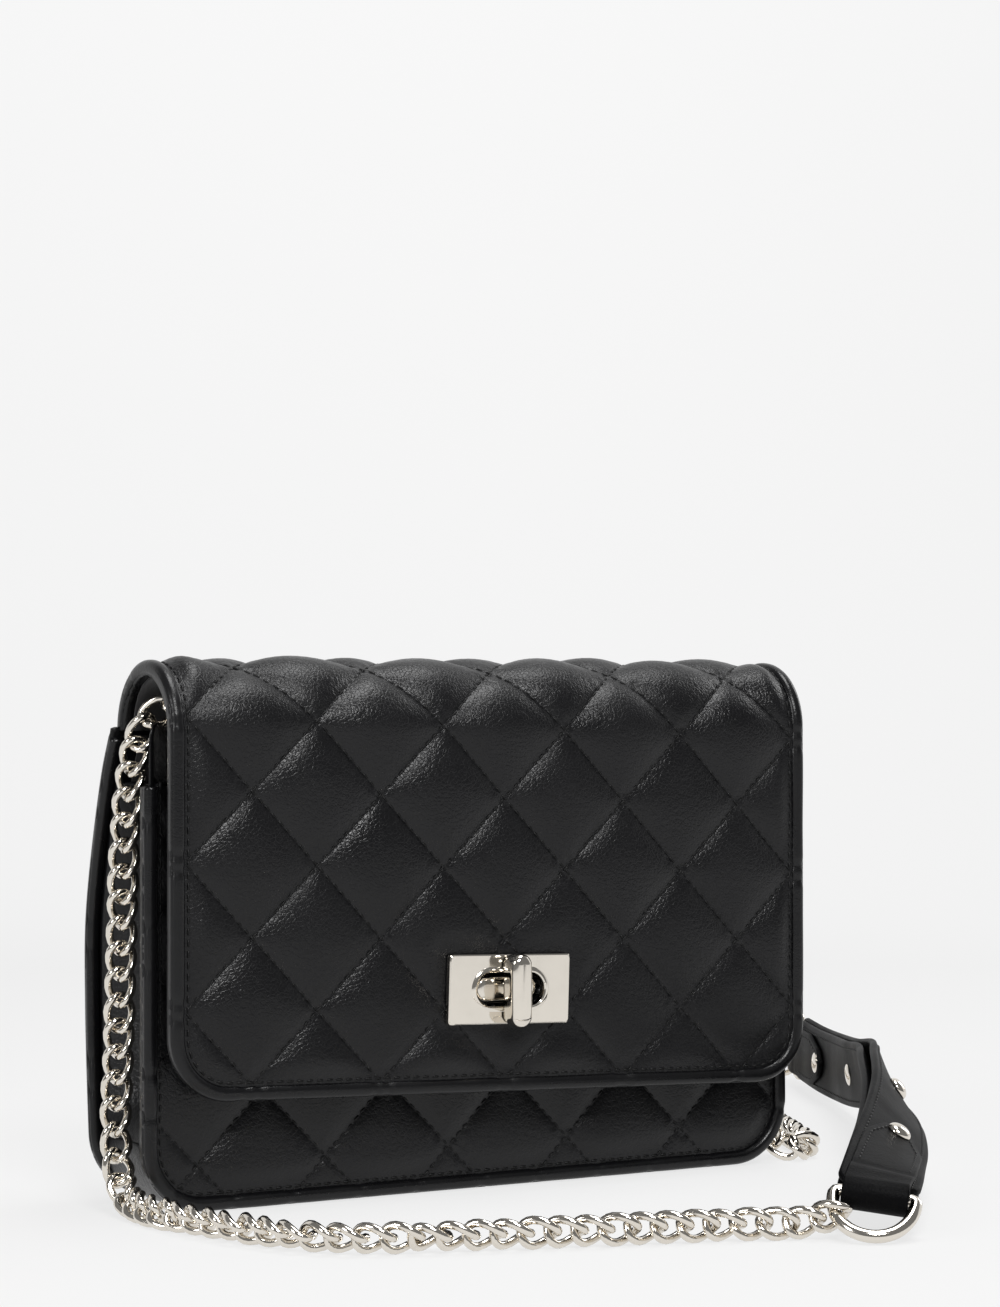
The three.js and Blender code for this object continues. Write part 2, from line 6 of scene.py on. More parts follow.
import bpy
import numpy as np
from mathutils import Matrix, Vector

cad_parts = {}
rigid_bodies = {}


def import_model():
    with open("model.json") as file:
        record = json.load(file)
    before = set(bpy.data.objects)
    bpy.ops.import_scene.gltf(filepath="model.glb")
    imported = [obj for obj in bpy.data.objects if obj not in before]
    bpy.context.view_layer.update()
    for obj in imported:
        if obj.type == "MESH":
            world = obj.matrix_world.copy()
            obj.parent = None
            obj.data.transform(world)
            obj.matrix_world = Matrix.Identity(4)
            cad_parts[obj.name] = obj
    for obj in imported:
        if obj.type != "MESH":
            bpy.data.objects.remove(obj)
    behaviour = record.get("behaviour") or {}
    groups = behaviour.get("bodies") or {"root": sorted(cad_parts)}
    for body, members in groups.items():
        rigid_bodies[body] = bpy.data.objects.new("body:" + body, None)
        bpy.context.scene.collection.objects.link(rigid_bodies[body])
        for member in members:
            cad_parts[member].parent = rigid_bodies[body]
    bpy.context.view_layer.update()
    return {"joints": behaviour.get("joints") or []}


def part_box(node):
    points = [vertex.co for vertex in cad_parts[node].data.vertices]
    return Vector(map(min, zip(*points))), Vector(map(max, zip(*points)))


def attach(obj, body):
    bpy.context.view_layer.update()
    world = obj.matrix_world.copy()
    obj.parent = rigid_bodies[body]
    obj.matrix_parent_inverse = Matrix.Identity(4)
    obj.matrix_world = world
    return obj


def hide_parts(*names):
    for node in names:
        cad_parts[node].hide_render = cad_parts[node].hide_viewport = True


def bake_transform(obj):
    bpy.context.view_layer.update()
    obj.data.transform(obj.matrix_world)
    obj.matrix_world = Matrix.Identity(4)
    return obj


for leftover in list(bpy.data.objects):
    bpy.data.objects.remove(leftover)
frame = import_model()
MM = 0.001


# ---------- places taken from the frame ----------
def low(node):
    return np.array(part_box(node)[0])


def high(node):
    return np.array(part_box(node)[1])


JOINTS = {joint["name"]: joint for joint in frame["joints"]}
HINGE = np.array(JOINTS["flap_hinge"]["pos_m"])
FLAP_HALF = high("flap_band")[0]
BODY_HALF = high("front_band")[0]
FLAP_FACE = low("flap_panel")[1]                     # the front of the closed flap
ARCH_RADIUS = (HINGE[1] - FLAP_FACE) / 2
ARCH_Y = HINGE[1] - ARCH_RADIUS
ARCH_Z = HINGE[2]
FRONT_FACE = low("front_panel")[1]
FRONT_TOP = high("front_panel")[2]
LOCK_Z = JOINTS["knob_turn"]["pos_m"][2]
PLATE_FRONT = low("lock_plate")[1]
PLATE_HALF = np.array([19.5, 9.75]) * MM
FLAP_LOW = 29 * MM
FLAP_LEAN = 0.03
FLAP_CORNER = 17 * MM
BODY_CORNER = 18 * MM
BACK_LINE = np.array([(17, 0), (19, 15), (22, 55), (21.5, 80), (11, 118), (5, 130.5)]) * MM
BACK_TUCK = 1.6 * MM                                 # the back runs on this far under the flap
QUILT_WIDE = 39.4 * MM                               # width of one quilted diamond
QUILT_TALL = 39.6 * MM                               # height of one quilted diamond
SEAM_SIDE = 28 * MM                                  # side of one quilted diamond
PUCKER = 4.6 * MM                                    # spacing of the puckers along a seam
STITCH = 3.0 * MM                                    # stitch spacing
LEATHER = 1.6 * MM
BAND = 4.0 * MM                                      # width of the rolled edge bands
LINK_PITCH = 7.0 * MM
SLOT_HALF = (11.0 * MM, 4.75 * MM)                    # half the slot of the turn lock's plates

# Routes of the two chains in millimetres: a point, then the direction across the flat of the links.
LEFT_CHAIN = [
    (-86, -9, 138, 0, 0, 1), (-92.5, -9, 137.6, -0.2, 0, 1), (-98.5, -8.4, 134, -0.8, 0.2, 0.6),
    (-101.4, -7, 127, -0.8, 0.6, 0.1), (-102.8, -5.4, 118, -0.7, 0.8, 0), (-103.6, -3.6, 100, -0.8, 0.7, 0),
    (-104.2, -2.6, 70, -0.8, 0.6, 0), (-105, -2.6, 42, -0.8, 0.6, 0), (-106.2, -3.6, 24, -0.8, 0.5, 0),
    (-107.2, -8, 11.5, -0.9, 0.1, -0.3), (-108.2, -16, 5.6, -0.6, 0, -0.8),
    (-109.2, -27, 4.4, -0.3, 0, -1), (-107.6, -42, 4.4, 0.1, 0, -1), (-104, -56, 4.4, 0.5, 0, -0.9),
    (-99.5, -71, 4.4, 0.6, 0.2, -0.8), (-93, -86, 4.4, 0.4, 0.6, -0.8), (-84, -97, 4.4, 0.2, 0.7, -0.8),
    (-72, -103.5, 4.4, 0, 0.7, -0.8), (-57, -108.5, 4.4, 0, 0.7, -0.8), (-40, -114, 4.4, 0, 0.6, -0.9),
    (-21, -119.5, 4.4, 0, 0.3, -1), (-3, -124.5, 4.4, 0, 0.4, -1), (10, -128.5, 4.4, 0, 0.2, -1),
    (19, -131.6, 4.4, 0, 0, -1), (26.5, -135, 4.4, 0.1, 0.1, -1),
    (32, -137.6, 5.4, 0.3, 0.3, -0.9), (38, -141.2, 7.6, 0.44, 0.43, -0.79),
]
RIGHT_CHAIN = [
    (86, -9, 138, 0, 0, 1), (92.5, -9, 137.6, 0.2, 0, 1), (98.5, -8.4, 134, 0.8, 0.2, 0.6),
    (101.4, -7, 127, 0.8, 0.6, 0.1), (102.8, -5.4, 118, 0.7, 0.8, 0), (103.6, -3.6, 100, 0.8, 0.7, 0),
    (104.2, -3, 70, 0.8, 0.6, 0),
    (104.8, -3, 42, 0.8, 0.6, 0), (105.8, -4, 24, 0.8, 0.5, 0), (106, -6.5, 14, 0.9, 0.2, 0.1),
    (106, -10.5, 7.2, 0.9, 0.1, 0.3), (106.5, -15, 4.4, 0.7, 0, 0.7), (108.6, -18.6, 4.4, 0.3, 0, 1),
    (112, -19.4, 4.4, 0, 0.2, 1), (115.2, -16.8, 4.4, 0, 0.1, 1), (117.2, -11.5, 4.4, 0, 0, 1),
    (120.6, -3, 4.4, 0.2, 0, 1), (126, 10, 4.4, 0.4, 0, 1), (133, 28, 4.4, 0.2, 0, 1),
    (140, 46, 4.4, -0.2, 0, 1), (148, 64, 4.4, 0, 0, 1), (157, 84, 4.4, 0.3, 0, 1),
    (167, 103, 4.4, 0.1, 0, 1), (178, 121, 4.4, -0.3, 0, 1), (190, 137, 4.4, 0, 0.2, 1),
    (202, 148.5, 4.4, 0, 0.3, 1), (211.5, 152.3, 4.4, 0, 0.1, 1), (219.5, 151.6, 4.8, 0.2, 0, 1),
    (225.4, 147, 6.8, 0.6, -0.3, 0.7),
]
# The shoulder pad: a point of its middle line, then the direction across it.
PAD_ROUTE = [
    (48, -141.5, 10.7, -0.86, 0.5, 0.1), (59, -129, 12.5, -0.84, 0.5, 0.26),
    (75, -110, 14.5, -0.78, 0.45, 0.44), (92, -90, 17, -0.7, 0.4, 0.6),
    (113, -62, 20.5, -0.55, 0.32, 0.77), (131, -33, 23, -0.4, 0.2, 0.9),
    (151, -2, 21.5, -0.24, 0.1, 0.96), (169, 32, 17.5, -0.08, 0.04, 1), (186, 64, 15, 0, 0, 1),
    (200, 94, 14, 0, 0, 1), (212, 119, 13.8, 0, 0, 1), (219.5, 134.5, 13.8, 0, 0, 1),
]


# ---------- curves ----------
def smooth_line(points, step):
    """A centripetal spline through the points, as evenly spaced points about one step apart."""
    points = np.array(points, float)
    ends = np.vstack([2 * points[0] - points[1], points, 2 * points[-1] - points[-2]])
    knots = np.concatenate([[0], np.cumsum(np.sqrt(np.linalg.norm(np.diff(ends[:, :3], axis=0), axis=1)))])
    fine = []
    for i in range(1, len(ends) - 2):
        p0, p1, p2, p3 = ends[i - 1:i + 3]
        t0, t1, t2, t3 = knots[i - 1:i + 3]
        t = np.linspace(t1, t2, 16, endpoint=False)[:, None]
        a1 = (t1 - t) / (t1 - t0) * p0 + (t - t0) / (t1 - t0) * p1
        a2 = (t2 - t) / (t2 - t1) * p1 + (t - t1) / (t2 - t1) * p2
        a3 = (t3 - t) / (t3 - t2) * p2 + (t - t2) / (t3 - t2) * p3
        b1 = (t2 - t) / (t2 - t0) * a1 + (t - t0) / (t2 - t0) * a2
        b2 = (t3 - t) / (t3 - t1) * a2 + (t - t1) / (t3 - t1) * a3
        fine.append((t2 - t) / (t2 - t1) * b1 + (t - t1) / (t2 - t1) * b2)
    return even(np.vstack(fine + [points[-1:]]), step)


def run_along(points):
    """The length of a line from its start to each of its points."""
    return np.concatenate([[0], np.cumsum(np.linalg.norm(np.diff(points[:, :3], axis=0), axis=1))])


def at_run(parts, run, distance):
    """Each part's direction or place at one distance along a line."""
    return [np.array([np.interp(distance, run, part[:, k]) for k in range(3)]) for part in parts]


def even(points, step):
    """The same line with its points evenly spaced, about one step apart."""
    lengths = run_along(points)
    count = max(2, int(round(lengths[-1] / step)) + 1)
    at = np.linspace(0, lengths[-1], count)
    return np.stack([np.interp(at, lengths, points[:, k]) for k in range(points.shape[1])], 1)


def unit(vectors):
    return vectors / np.linalg.norm(vectors, axis=-1, keepdims=True)


def tangents(points, closed=False):
    if closed:
        return unit(np.roll(points, -1, 0) - np.roll(points, 1, 0))
    return unit(np.gradient(points, axis=0))


def length_of(points):
    return float(np.linalg.norm(np.diff(points[:, :3], axis=0), axis=1).sum())


def smoothstep(value, start, end):
    t = np.clip((value - start) / (end - start), 0, 1)
    return t * t * (3 - 2 * t)


# ---------- meshes ----------
class Patch:
    """Collects points and faces that become one mesh."""

    def __init__(self):
        self.points, self.faces, self.size = [], [], 0

    def add(self, points, faces):
        self.points.append(np.asarray(points, float).reshape(-1, 3))
        self.faces.extend([tuple(int(i) + self.size for i in face) for face in faces])
        self.size += len(self.points[-1])
        return self

    def grid(self, points, wrap=False, flip=False):
        """A surface through rows of points; wrap joins the last column to the first."""
        rows, cols = points.shape[:2]
        row, col = np.meshgrid(np.arange(rows - 1), np.arange(cols if wrap else cols - 1), indexing="ij")
        a = (row * cols + col).ravel()
        b = (row * cols + (col + 1) % cols).ravel()
        quads = np.stack([a, b, b + cols, a + cols], 1)
        return self.add(points, quads[:, ::-1] if flip else quads)

    def tube(self, rings, cap=True, loop=False):
        """A closed skin through matching rings of points."""
        if loop:
            rings = np.concatenate([rings, rings[:1]])
        count, sides = rings.shape[:2]
        base = self.size
        self.grid(rings, wrap=True)
        if loop:
            last = base + (count - 1) * sides
            self.faces = [tuple(base + v - last if v >= last else v for v in f) for f in self.faces]
            self.points[-1] = self.points[-1][:-sides]
            self.size -= sides
        elif cap:
            self.faces.append(tuple(range(base + sides - 1, base - 1, -1)))
            self.faces.append(tuple(range(base + (count - 1) * sides, base + count * sides)))
        return self

    def slab(self, outer, inner):
        """A closed sheet between two matching grids."""
        rows, cols = outer.shape[:2]
        base = self.size
        self.grid(outer)
        self.grid(inner, flip=True)
        index = np.arange(rows * cols).reshape(rows, cols)
        rim = np.concatenate([index[0, :], index[1:, -1], index[-1, -2::-1], index[-2:0:-1, 0]])
        shift = rows * cols
        for a, b in zip(rim, np.roll(rim, -1)):
            self.faces.append((base + b, base + a, base + a + shift, base + b + shift))
        return self

    def piece(self, name, material, body, slot, smooth=True):
        mesh = bpy.data.meshes.new(name)
        mesh.from_pydata(np.vstack(self.points).tolist(), [], self.faces)
        mesh.validate()
        mesh.materials.append(material)
        if smooth:
            mesh.shade_smooth()
        obj = bpy.data.objects.new(name, mesh)
        bpy.context.scene.collection.objects.link(obj)
        if body:
            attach(obj, body)
        return obj


def ring_section(radius, sides, flat=1.0):
    angle = np.arange(sides) * 2 * np.pi / sides
    return np.stack([radius * np.cos(angle), radius * flat * np.sin(angle)], 1)


def box_section(half_a, half_b, radius, steps=4):
    """A rectangle with round corners, as points in two dimensions."""
    corner = [(1, 1, 0), (-1, 1, 1), (-1, -1, 2), (1, -1, 3)]
    points = []
    for sign_a, sign_b, quarter in corner:
        for i in range(steps + 1):
            angle = (quarter + i / steps) * np.pi / 2
            points.append((sign_a * (half_a - radius) + radius * np.cos(angle),
                           sign_b * (half_b - radius) + radius * np.sin(angle)))
    return np.array(points)


def rings_along(points, first, second, section):
    """Places a flat section at each point, in its two directions."""
    return points[:, None] + first[:, None] * section[None, :, :1] + second[:, None] * section[None, :, 1:]


def carried_frames(points, start, closed=False):
    """Two directions square to the line, carried along it without twist."""
    along = tangents(points, closed)
    first = np.zeros_like(points)
    direction = np.array(start, float)
    for i, t in enumerate(along):
        direction = direction - t * direction.dot(t)
        direction /= np.linalg.norm(direction)
        first[i] = direction
    return first, np.cross(along, first)


def round_tube(points, radius, sides=12, start=(0, 0, 1), closed=False, patch=None):
    first, second = carried_frames(points, start, closed)
    rings = rings_along(points, first, second, ring_section(radius, sides))
    return (patch or Patch()).tube(rings, loop=closed)


# ---------- materials ----------
def colour(code):
    """An sRGB hex value as linear RGBA."""
    parts = [int(code[i:i + 2], 16) / 255 for i in (1, 3, 5)]
    return tuple(c / 12.92 if c <= 0.04045 else ((c + 0.055) / 1.055) ** 2.4 for c in parts) + (1.0,)


def node(tree, kind, settings=None, links=None):
    """Adds a node, sets its properties and sockets, and links what feeds it."""
    made = tree.nodes.new(kind)
    for name, value in (settings or {}).items():
        if isinstance(name, str) and hasattr(made, name):
            setattr(made, name, value)
        else:
            made.inputs[name].default_value = value
    for name, source in (links or {}).items():
        tree.links.new(source, made.inputs[name])
    return made


def new_material(name):
    material = bpy.data.materials.new(name)
    material.use_nodes = True
    tree = material.node_tree
    tree.nodes.clear()
    return material, tree


def close_material(tree, shader):
    node(tree, "ShaderNodeOutputMaterial", {}, {"Surface": shader.outputs[0]})


def coated_leather(name, base, roughness, grain=1.0, shine=0.33):
    """Polyurethane-coated leather, pressed with a fine pebble grain: the coating gives a soft, even
    gloss, and the grain breaks the highlights into small flecks."""
    material, tree = new_material(name)
    place = node(tree, "ShaderNodeTexCoord")
    cells = node(tree, "ShaderNodeTexVoronoi", {"feature": "DISTANCE_TO_EDGE", "Scale": 1 / (1.1 * MM),
                                                "Randomness": 1.0}, {"Vector": place.outputs["Object"]})
    pebble = node(tree, "ShaderNodeMapRange", {"From Min": 0.0, "From Max": 0.16},
                  {"Value": cells.outputs["Distance"]})
    creases = node(tree, "ShaderNodeTexNoise", {"Scale": 1 / (1.4 * MM), "Detail": 3.0, "Roughness": 0.55},
                   {"Vector": place.outputs["Object"]})
    patches = node(tree, "ShaderNodeTexNoise", {"Scale": 1 / (22 * MM), "Detail": 2.0},
                   {"Vector": place.outputs["Object"]})
    bump_pebble = node(tree, "ShaderNodeBump", {"Strength": 0.45 * grain, "Distance": 0.09 * MM},
                       {"Height": pebble.outputs[0]})
    bump = node(tree, "ShaderNodeBump", {"Strength": 0.36 * grain, "Distance": 0.45 * MM},
                {"Height": creases.outputs["Fac"], "Normal": bump_pebble.outputs[0]})
    gloss = node(tree, "ShaderNodeMapRange", {"From Min": 0.3, "From Max": 0.7,
                                              "To Min": roughness - 0.05, "To Max": roughness + 0.07},
                 {"Value": patches.outputs["Fac"]})
    tone = node(tree, "ShaderNodeMix", {"data_type": "RGBA"}, {0: creases.outputs["Fac"]})
    tone.inputs[6].default_value = colour(base[0])
    tone.inputs[7].default_value = colour(base[1])
    shader = node(tree, "ShaderNodeBsdfPrincipled",
                  {"IOR": 1.5, "Specular IOR Level": shine},
                  {"Base Color": tone.outputs[2], "Roughness": gloss.outputs[0],
                   "Normal": bump.outputs[0]})
    close_material(tree, shader)
    return material


def woven_cloth(name, base, thread=0.45 * MM):
    """Plain-woven polyester lining: crossing threads give a fine matt check with a faint sheen."""
    material, tree = new_material(name)
    place = node(tree, "ShaderNodeTexCoord")
    warp = node(tree, "ShaderNodeTexWave", {"wave_type": "BANDS", "bands_direction": "X",
                                            "Scale": 0.5 / thread, "Distortion": 0.4},
                {"Vector": place.outputs["Object"]})
    weft = node(tree, "ShaderNodeTexWave", {"wave_type": "BANDS", "bands_direction": "Z",
                                            "Scale": 0.5 / thread, "Distortion": 0.4},
                {"Vector": place.outputs["Object"]})
    weave = node(tree, "ShaderNodeMath", {"operation": "MULTIPLY"},
                 {0: warp.outputs["Fac"], 1: weft.outputs["Fac"]})
    bump = node(tree, "ShaderNodeBump", {"Strength": 0.5, "Distance": 0.1 * MM},
                {"Height": weave.outputs[0]})
    tone = node(tree, "ShaderNodeMix", {"data_type": "RGBA"}, {0: weave.outputs[0]})
    tone.inputs[6].default_value = colour(base[0])
    tone.inputs[7].default_value = colour(base[1])
    shader = node(tree, "ShaderNodeBsdfPrincipled", {"Roughness": 0.85, "Sheen Weight": 0.25, "IOR": 1.5},
                  {"Base Color": tone.outputs[2], "Normal": bump.outputs[0]})
    close_material(tree, shader)
    return material


def polished_nickel(name, roughness=0.1):
    """Polished nickel plate over brass or zinc: a warm silver mirror with faint hazing from handling."""
    material, tree = new_material(name)
    place = node(tree, "ShaderNodeTexCoord")
    haze = node(tree, "ShaderNodeTexNoise", {"Scale": 1 / (6 * MM), "Detail": 3.0},
                {"Vector": place.outputs["Object"]})
    scuff = node(tree, "ShaderNodeTexNoise", {"Scale": 1 / (0.8 * MM), "Detail": 2.0},
                 {"Vector": place.outputs["Object"]})
    gloss = node(tree, "ShaderNodeMapRange", {"From Min": 0.35, "From Max": 0.7,
                                              "To Min": roughness - 0.03, "To Max": roughness + 0.06},
                 {"Value": haze.outputs["Fac"]})
    bump = node(tree, "ShaderNodeBump", {"Strength": 0.04, "Distance": 0.05 * MM},
                {"Height": scuff.outputs["Fac"]})
    shader = node(tree, "ShaderNodeBsdfPrincipled",
                  {"Base Color": colour("#e2dcd2"), "Metallic": 1.0},
                  {"Roughness": gloss.outputs[0], "Normal": bump.outputs[0]})
    close_material(tree, shader)
    return material


def bonded_thread(name):
    """Bonded nylon sewing thread: black, lightly waxed, with a small twist that catches the light."""
    material, tree = new_material(name)
    place = node(tree, "ShaderNodeTexCoord")
    twist = node(tree, "ShaderNodeTexNoise", {"Scale": 1 / (0.3 * MM)}, {"Vector": place.outputs["Object"]})
    tone = node(tree, "ShaderNodeMix", {"data_type": "RGBA"}, {0: twist.outputs["Fac"]})
    tone.inputs[6].default_value = colour("#020202")
    tone.inputs[7].default_value = colour("#101011")
    shader = node(tree, "ShaderNodeBsdfPrincipled",
                  {"Roughness": 0.5, "IOR": 1.53, "Specular IOR Level": 0.22},
                  {"Base Color": tone.outputs[2]})
    close_material(tree, shader)
    return material


def pressed_board(name, base, roughness, scale):
    """Pressed fibre board: a matt, finely speckled surface."""
    material, tree = new_material(name)
    place = node(tree, "ShaderNodeTexCoord")
    grain = node(tree, "ShaderNodeTexNoise", {"Scale": 1 / scale, "Detail": 4.0},
                 {"Vector": place.outputs["Object"]})
    tone = node(tree, "ShaderNodeMix", {"data_type": "RGBA"}, {0: grain.outputs["Fac"]})
    tone.inputs[6].default_value = colour(base[0])
    tone.inputs[7].default_value = colour(base[1])
    bump = node(tree, "ShaderNodeBump", {"Strength": 0.4, "Distance": 0.2 * MM},
                {"Height": grain.outputs["Fac"]})
    shader = node(tree, "ShaderNodeBsdfPrincipled", {"Roughness": roughness, "IOR": 1.45},
                  {"Base Color": tone.outputs[2], "Normal": bump.outputs[0]})
    close_material(tree, shader)
    return material


def studio_white(name, code, roughness, glow):
    """Studio board lit from within as well, so that the ground stays even out to its edges."""
    material, tree = new_material(name)
    shader = node(tree, "ShaderNodeBsdfPrincipled",
                  {"Base Color": colour(code), "Roughness": roughness, "Specular IOR Level": 0.0,
                   "Emission Color": colour("#ffffff"), "Emission Strength": glow})
    close_material(tree, shader)
    return material


SOFT_LEATHER = coated_leather("quilted_coated_leather", ("#060608", "#0c0c0e"), 0.33)
EDGE_LEATHER = coated_leather("edge_coated_leather", ("#070708", "#0f0f11"), 0.27, 0.35)
STRAP_LEATHER = coated_leather("strap_coated_leather", ("#060607", "#0c0c0d"), 0.47, 0.7, shine=0.04)
LINING = woven_cloth("woven_polyester_lining", ("#131213", "#2a2829"))
NICKEL = polished_nickel("polished_nickel_plate")
THREAD = bonded_thread("bonded_nylon_thread")
BOARD = pressed_board("pressed_fibre_board", ("#5a4b38", "#7a6850"), 0.9, 1.2 * MM)


# ---------- camera ----------
def make_camera():
    """Stands at the height of the flap's top, thirty degrees round to the left of the front."""
    data = bpy.data.cameras.new("camera")
    camera = bpy.data.objects.new("camera", data)
    bpy.context.scene.collection.objects.link(camera)
    data.lens = 89.0
    data.clip_start = 0.05
    camera.location = (-0.457, -0.821, 0.142)
    camera.rotation_euler = (math.radians(90.65), 0, math.radians(-30))
    bpy.context.scene.camera = camera


# ---------- chains ----------
def curb_link():
    """One link about the origin, long in X, flat in XY: an oval of wire with its ends twisted apart."""
    wire, half_long, half_wide = 1.1 * MM, 4.9 * MM, 3.4 * MM
    t = np.arange(24) * 2 * np.pi / 24
    x = half_long * np.sign(np.cos(t)) * np.abs(np.cos(t)) ** 0.8
    y = half_wide * np.sign(np.sin(t)) * np.abs(np.sin(t)) ** 0.8
    twist = x / half_long * math.radians(50)
    line = np.stack([x, y * np.cos(twist), y * np.sin(twist)], 1)
    first, second = carried_frames(line, (0, 0, 1), closed=True)
    return rings_along(line, first, second, ring_section(wire, 10))


def chain(name, route):
    """Links laid along a route, each one turned to the route's flat direction."""
    line = smooth_line(np.array(route) * [MM, MM, MM, 1, 1, 1], 1.0 * MM)
    path, flats = line[:, :3], line[:, 3:]
    along, run = tangents(path), run_along(path)
    total = length_of(path)
    link = curb_link()
    patch = Patch()
    places = np.linspace(LINK_PITCH / 2, total - LINK_PITCH / 2, int(round(total / LINK_PITCH)))
    for i, place in enumerate(places):
        point, x_axis, flat = at_run((path, along, flats), run, place)
        x_axis = unit(x_axis)
        y_axis = unit(flat - x_axis * flat.dot(x_axis))
        z_axis = np.cross(x_axis, y_axis)
        # No two links lie at quite the same angle.
        wobble = 0.16 * math.sin(2.3 * i) + 0.1 * math.sin(5.1 * i + 1)
        y_axis, z_axis = (y_axis * math.cos(wobble) + z_axis * math.sin(wobble),
                          z_axis * math.cos(wobble) - y_axis * math.sin(wobble))
        patch.tube(link @ np.stack([x_axis, y_axis, z_axis]) + point, loop=True)
    return patch.piece(name, NICKEL, "purse", "nickel"), path


def make_chains():
    for word, route, end in (("left", LEFT_CHAIN, "front"), ("right", RIGHT_CHAIN, "rear")):
        links, path = chain(f"chain_{word}_links", route)
        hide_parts(f"chain_{word}")


# ---------- shoulder pad ----------
def pad_frames(step=1.5 * MM):
    """Places, and the directions along, across and out of the face, from the front ring to the rear."""
    line = smooth_line(np.array(PAD_ROUTE) * [MM, MM, MM, 1, 1, 1], step)
    place, across = line[:, :3], line[:, 3:]
    along = tangents(place)
    across = unit(across - along * (across * along).sum(1, keepdims=True))
    return place, along, across, np.cross(along, across)


def pad_at(frames, distance):
    """The pad's middle and its three directions at one distance from the front ring."""
    return at_run(frames, run_along(frames[0]), distance)


def strap_layer(name, frames, offset, thickness, half_width, start, end, material, bow):
    """One leather layer of the pad, with rolled edges; bow lifts it away in the bends."""
    place, _, across, face = frames
    run = run_along(place)
    keep = (run >= start) & (run <= run[-1] - end)
    total = run[-1]
    middle = offset + thickness / 2
    lift = bow * np.sin(np.pi * np.clip(run / total, 0, 1)) ** 2
    centre = place + face * (middle + lift)[:, None]
    section = box_section(half_width, thickness / 2, thickness * 0.42, 4)
    rings = rings_along(centre[keep], across[keep], face[keep], section)
    # The ends are rounded off like cut leather.
    ends = np.minimum(run[keep] - run[keep][0], run[keep][-1] - run[keep])
    shrink = 0.82 + 0.18 * np.sqrt(np.clip(ends / (4 * MM), 0, 1))
    centre_keep = centre[keep][:, None]
    rings = centre_keep + (rings - centre_keep) * shrink[:, None, None]
    piece = Patch().tube(rings).piece(name, material, "purse", "leather")
    return piece, lift


def stitches(patch, points, normals, radius=0.34 * MM, dash=2.35 * MM):
    """Short dashes of thread along a line, each dipping into the leather at its ends."""
    if length_of(points) < STITCH:
        return patch
    both = even(np.hstack([points, normals]), STITCH)
    spot, normal = both[:, :3], unit(both[:, 3:])
    along = tangents(spot)
    side = np.cross(normal, along)
    share = np.array([-0.5, -0.36, 0.0, 0.36, 0.5])
    depth = np.array([-1.7, -0.2, 0.25, -0.2, -1.7]) * radius
    section = ring_section(radius, 6)
    for p, n, a, s in zip(spot, normal, along, side):
        line = p + a * (share * dash)[:, None] + n * depth[:, None]
        rings = line[:, None] + s * section[None, :, :1] + n * section[None, :, 1:]
        patch.tube(rings)
    return patch


def folded_tab(name, frames, distances, width):
    """A pointed leather tab folded round the ring's bar, lying on both faces of the pad."""
    inside, thick, leg, taper, tip = 2.95 * MM, 1.5 * MM, 62 * MM, 18 * MM, 0.42
    bend = np.linspace(-np.pi / 2, np.pi / 2, 15)[1:-1]
    rounded = 5 * MM
    legs = np.concatenate([np.linspace(0, leg - rounded, 30),
                           leg - rounded * np.array([0.7, 0.45, 0.25, 0.1, 0.02])])
    stations = [(d, -np.pi / 2) for d in legs[::-1]]
    stations += [(0, a) for a in bend]
    stations += [(d, np.pi / 2) for d in legs]
    section = box_section(width / 2, thick / 2, 0.62 * MM, 3)
    rings, edges = [], {-1: [], 1: []}
    for distance, angle in stations:
        place, along, across, face = pad_at(frames, distances(distance))
        if distances(0) > 0:
            along, face = -along, -face
        outward = face * math.sin(angle) - along * math.cos(angle)
        narrow = 1 - (1 - tip) * max(0.0, (distance - leg + taper) / taper)
        narrow *= math.sqrt(max(0.03, min(1.0, (leg - distance) / (4 * MM))))
        # A crease is pressed across each leg where the leather comes off the ring.
        crease = 0.45 * MM * math.exp(-((distance - 11 * MM) / (1.1 * MM)) ** 2) * abs(math.sin(angle))
        swell = 0.35 * MM * math.exp(-((distance - 7 * MM) / (3.5 * MM)) ** 2)
        centre = place + outward * (inside + thick / 2 + swell - crease + 0.15 * MM * math.cos(angle))
        rings.append(centre + across * section[:, :1] * narrow + outward * section[:, 1:])
        if abs(math.sin(angle)) == 1 and 14 * MM < distance < leg - 4 * MM:
            for side in (-1, 1):
                rim = centre + across * side * (width / 2 * narrow - 1.9 * MM) + outward * thick / 2
                edges[side].append((round(math.sin(angle)), rim, outward))
    thread = Patch()
    for side in (-1, 1):
        for leg_side in (-1, 1):
            row = [(p, n) for which, p, n in edges[side] if which == leg_side]
            stitches(thread, np.array([p for p, _ in row]), np.array([n for _, n in row]), radius=0.3 * MM)
    thread.piece(f"{name}_stitches", THREAD, "purse", "leather")
    return Patch().tube(np.array(rings)).piece(name, STRAP_LEATHER, "purse", "leather")


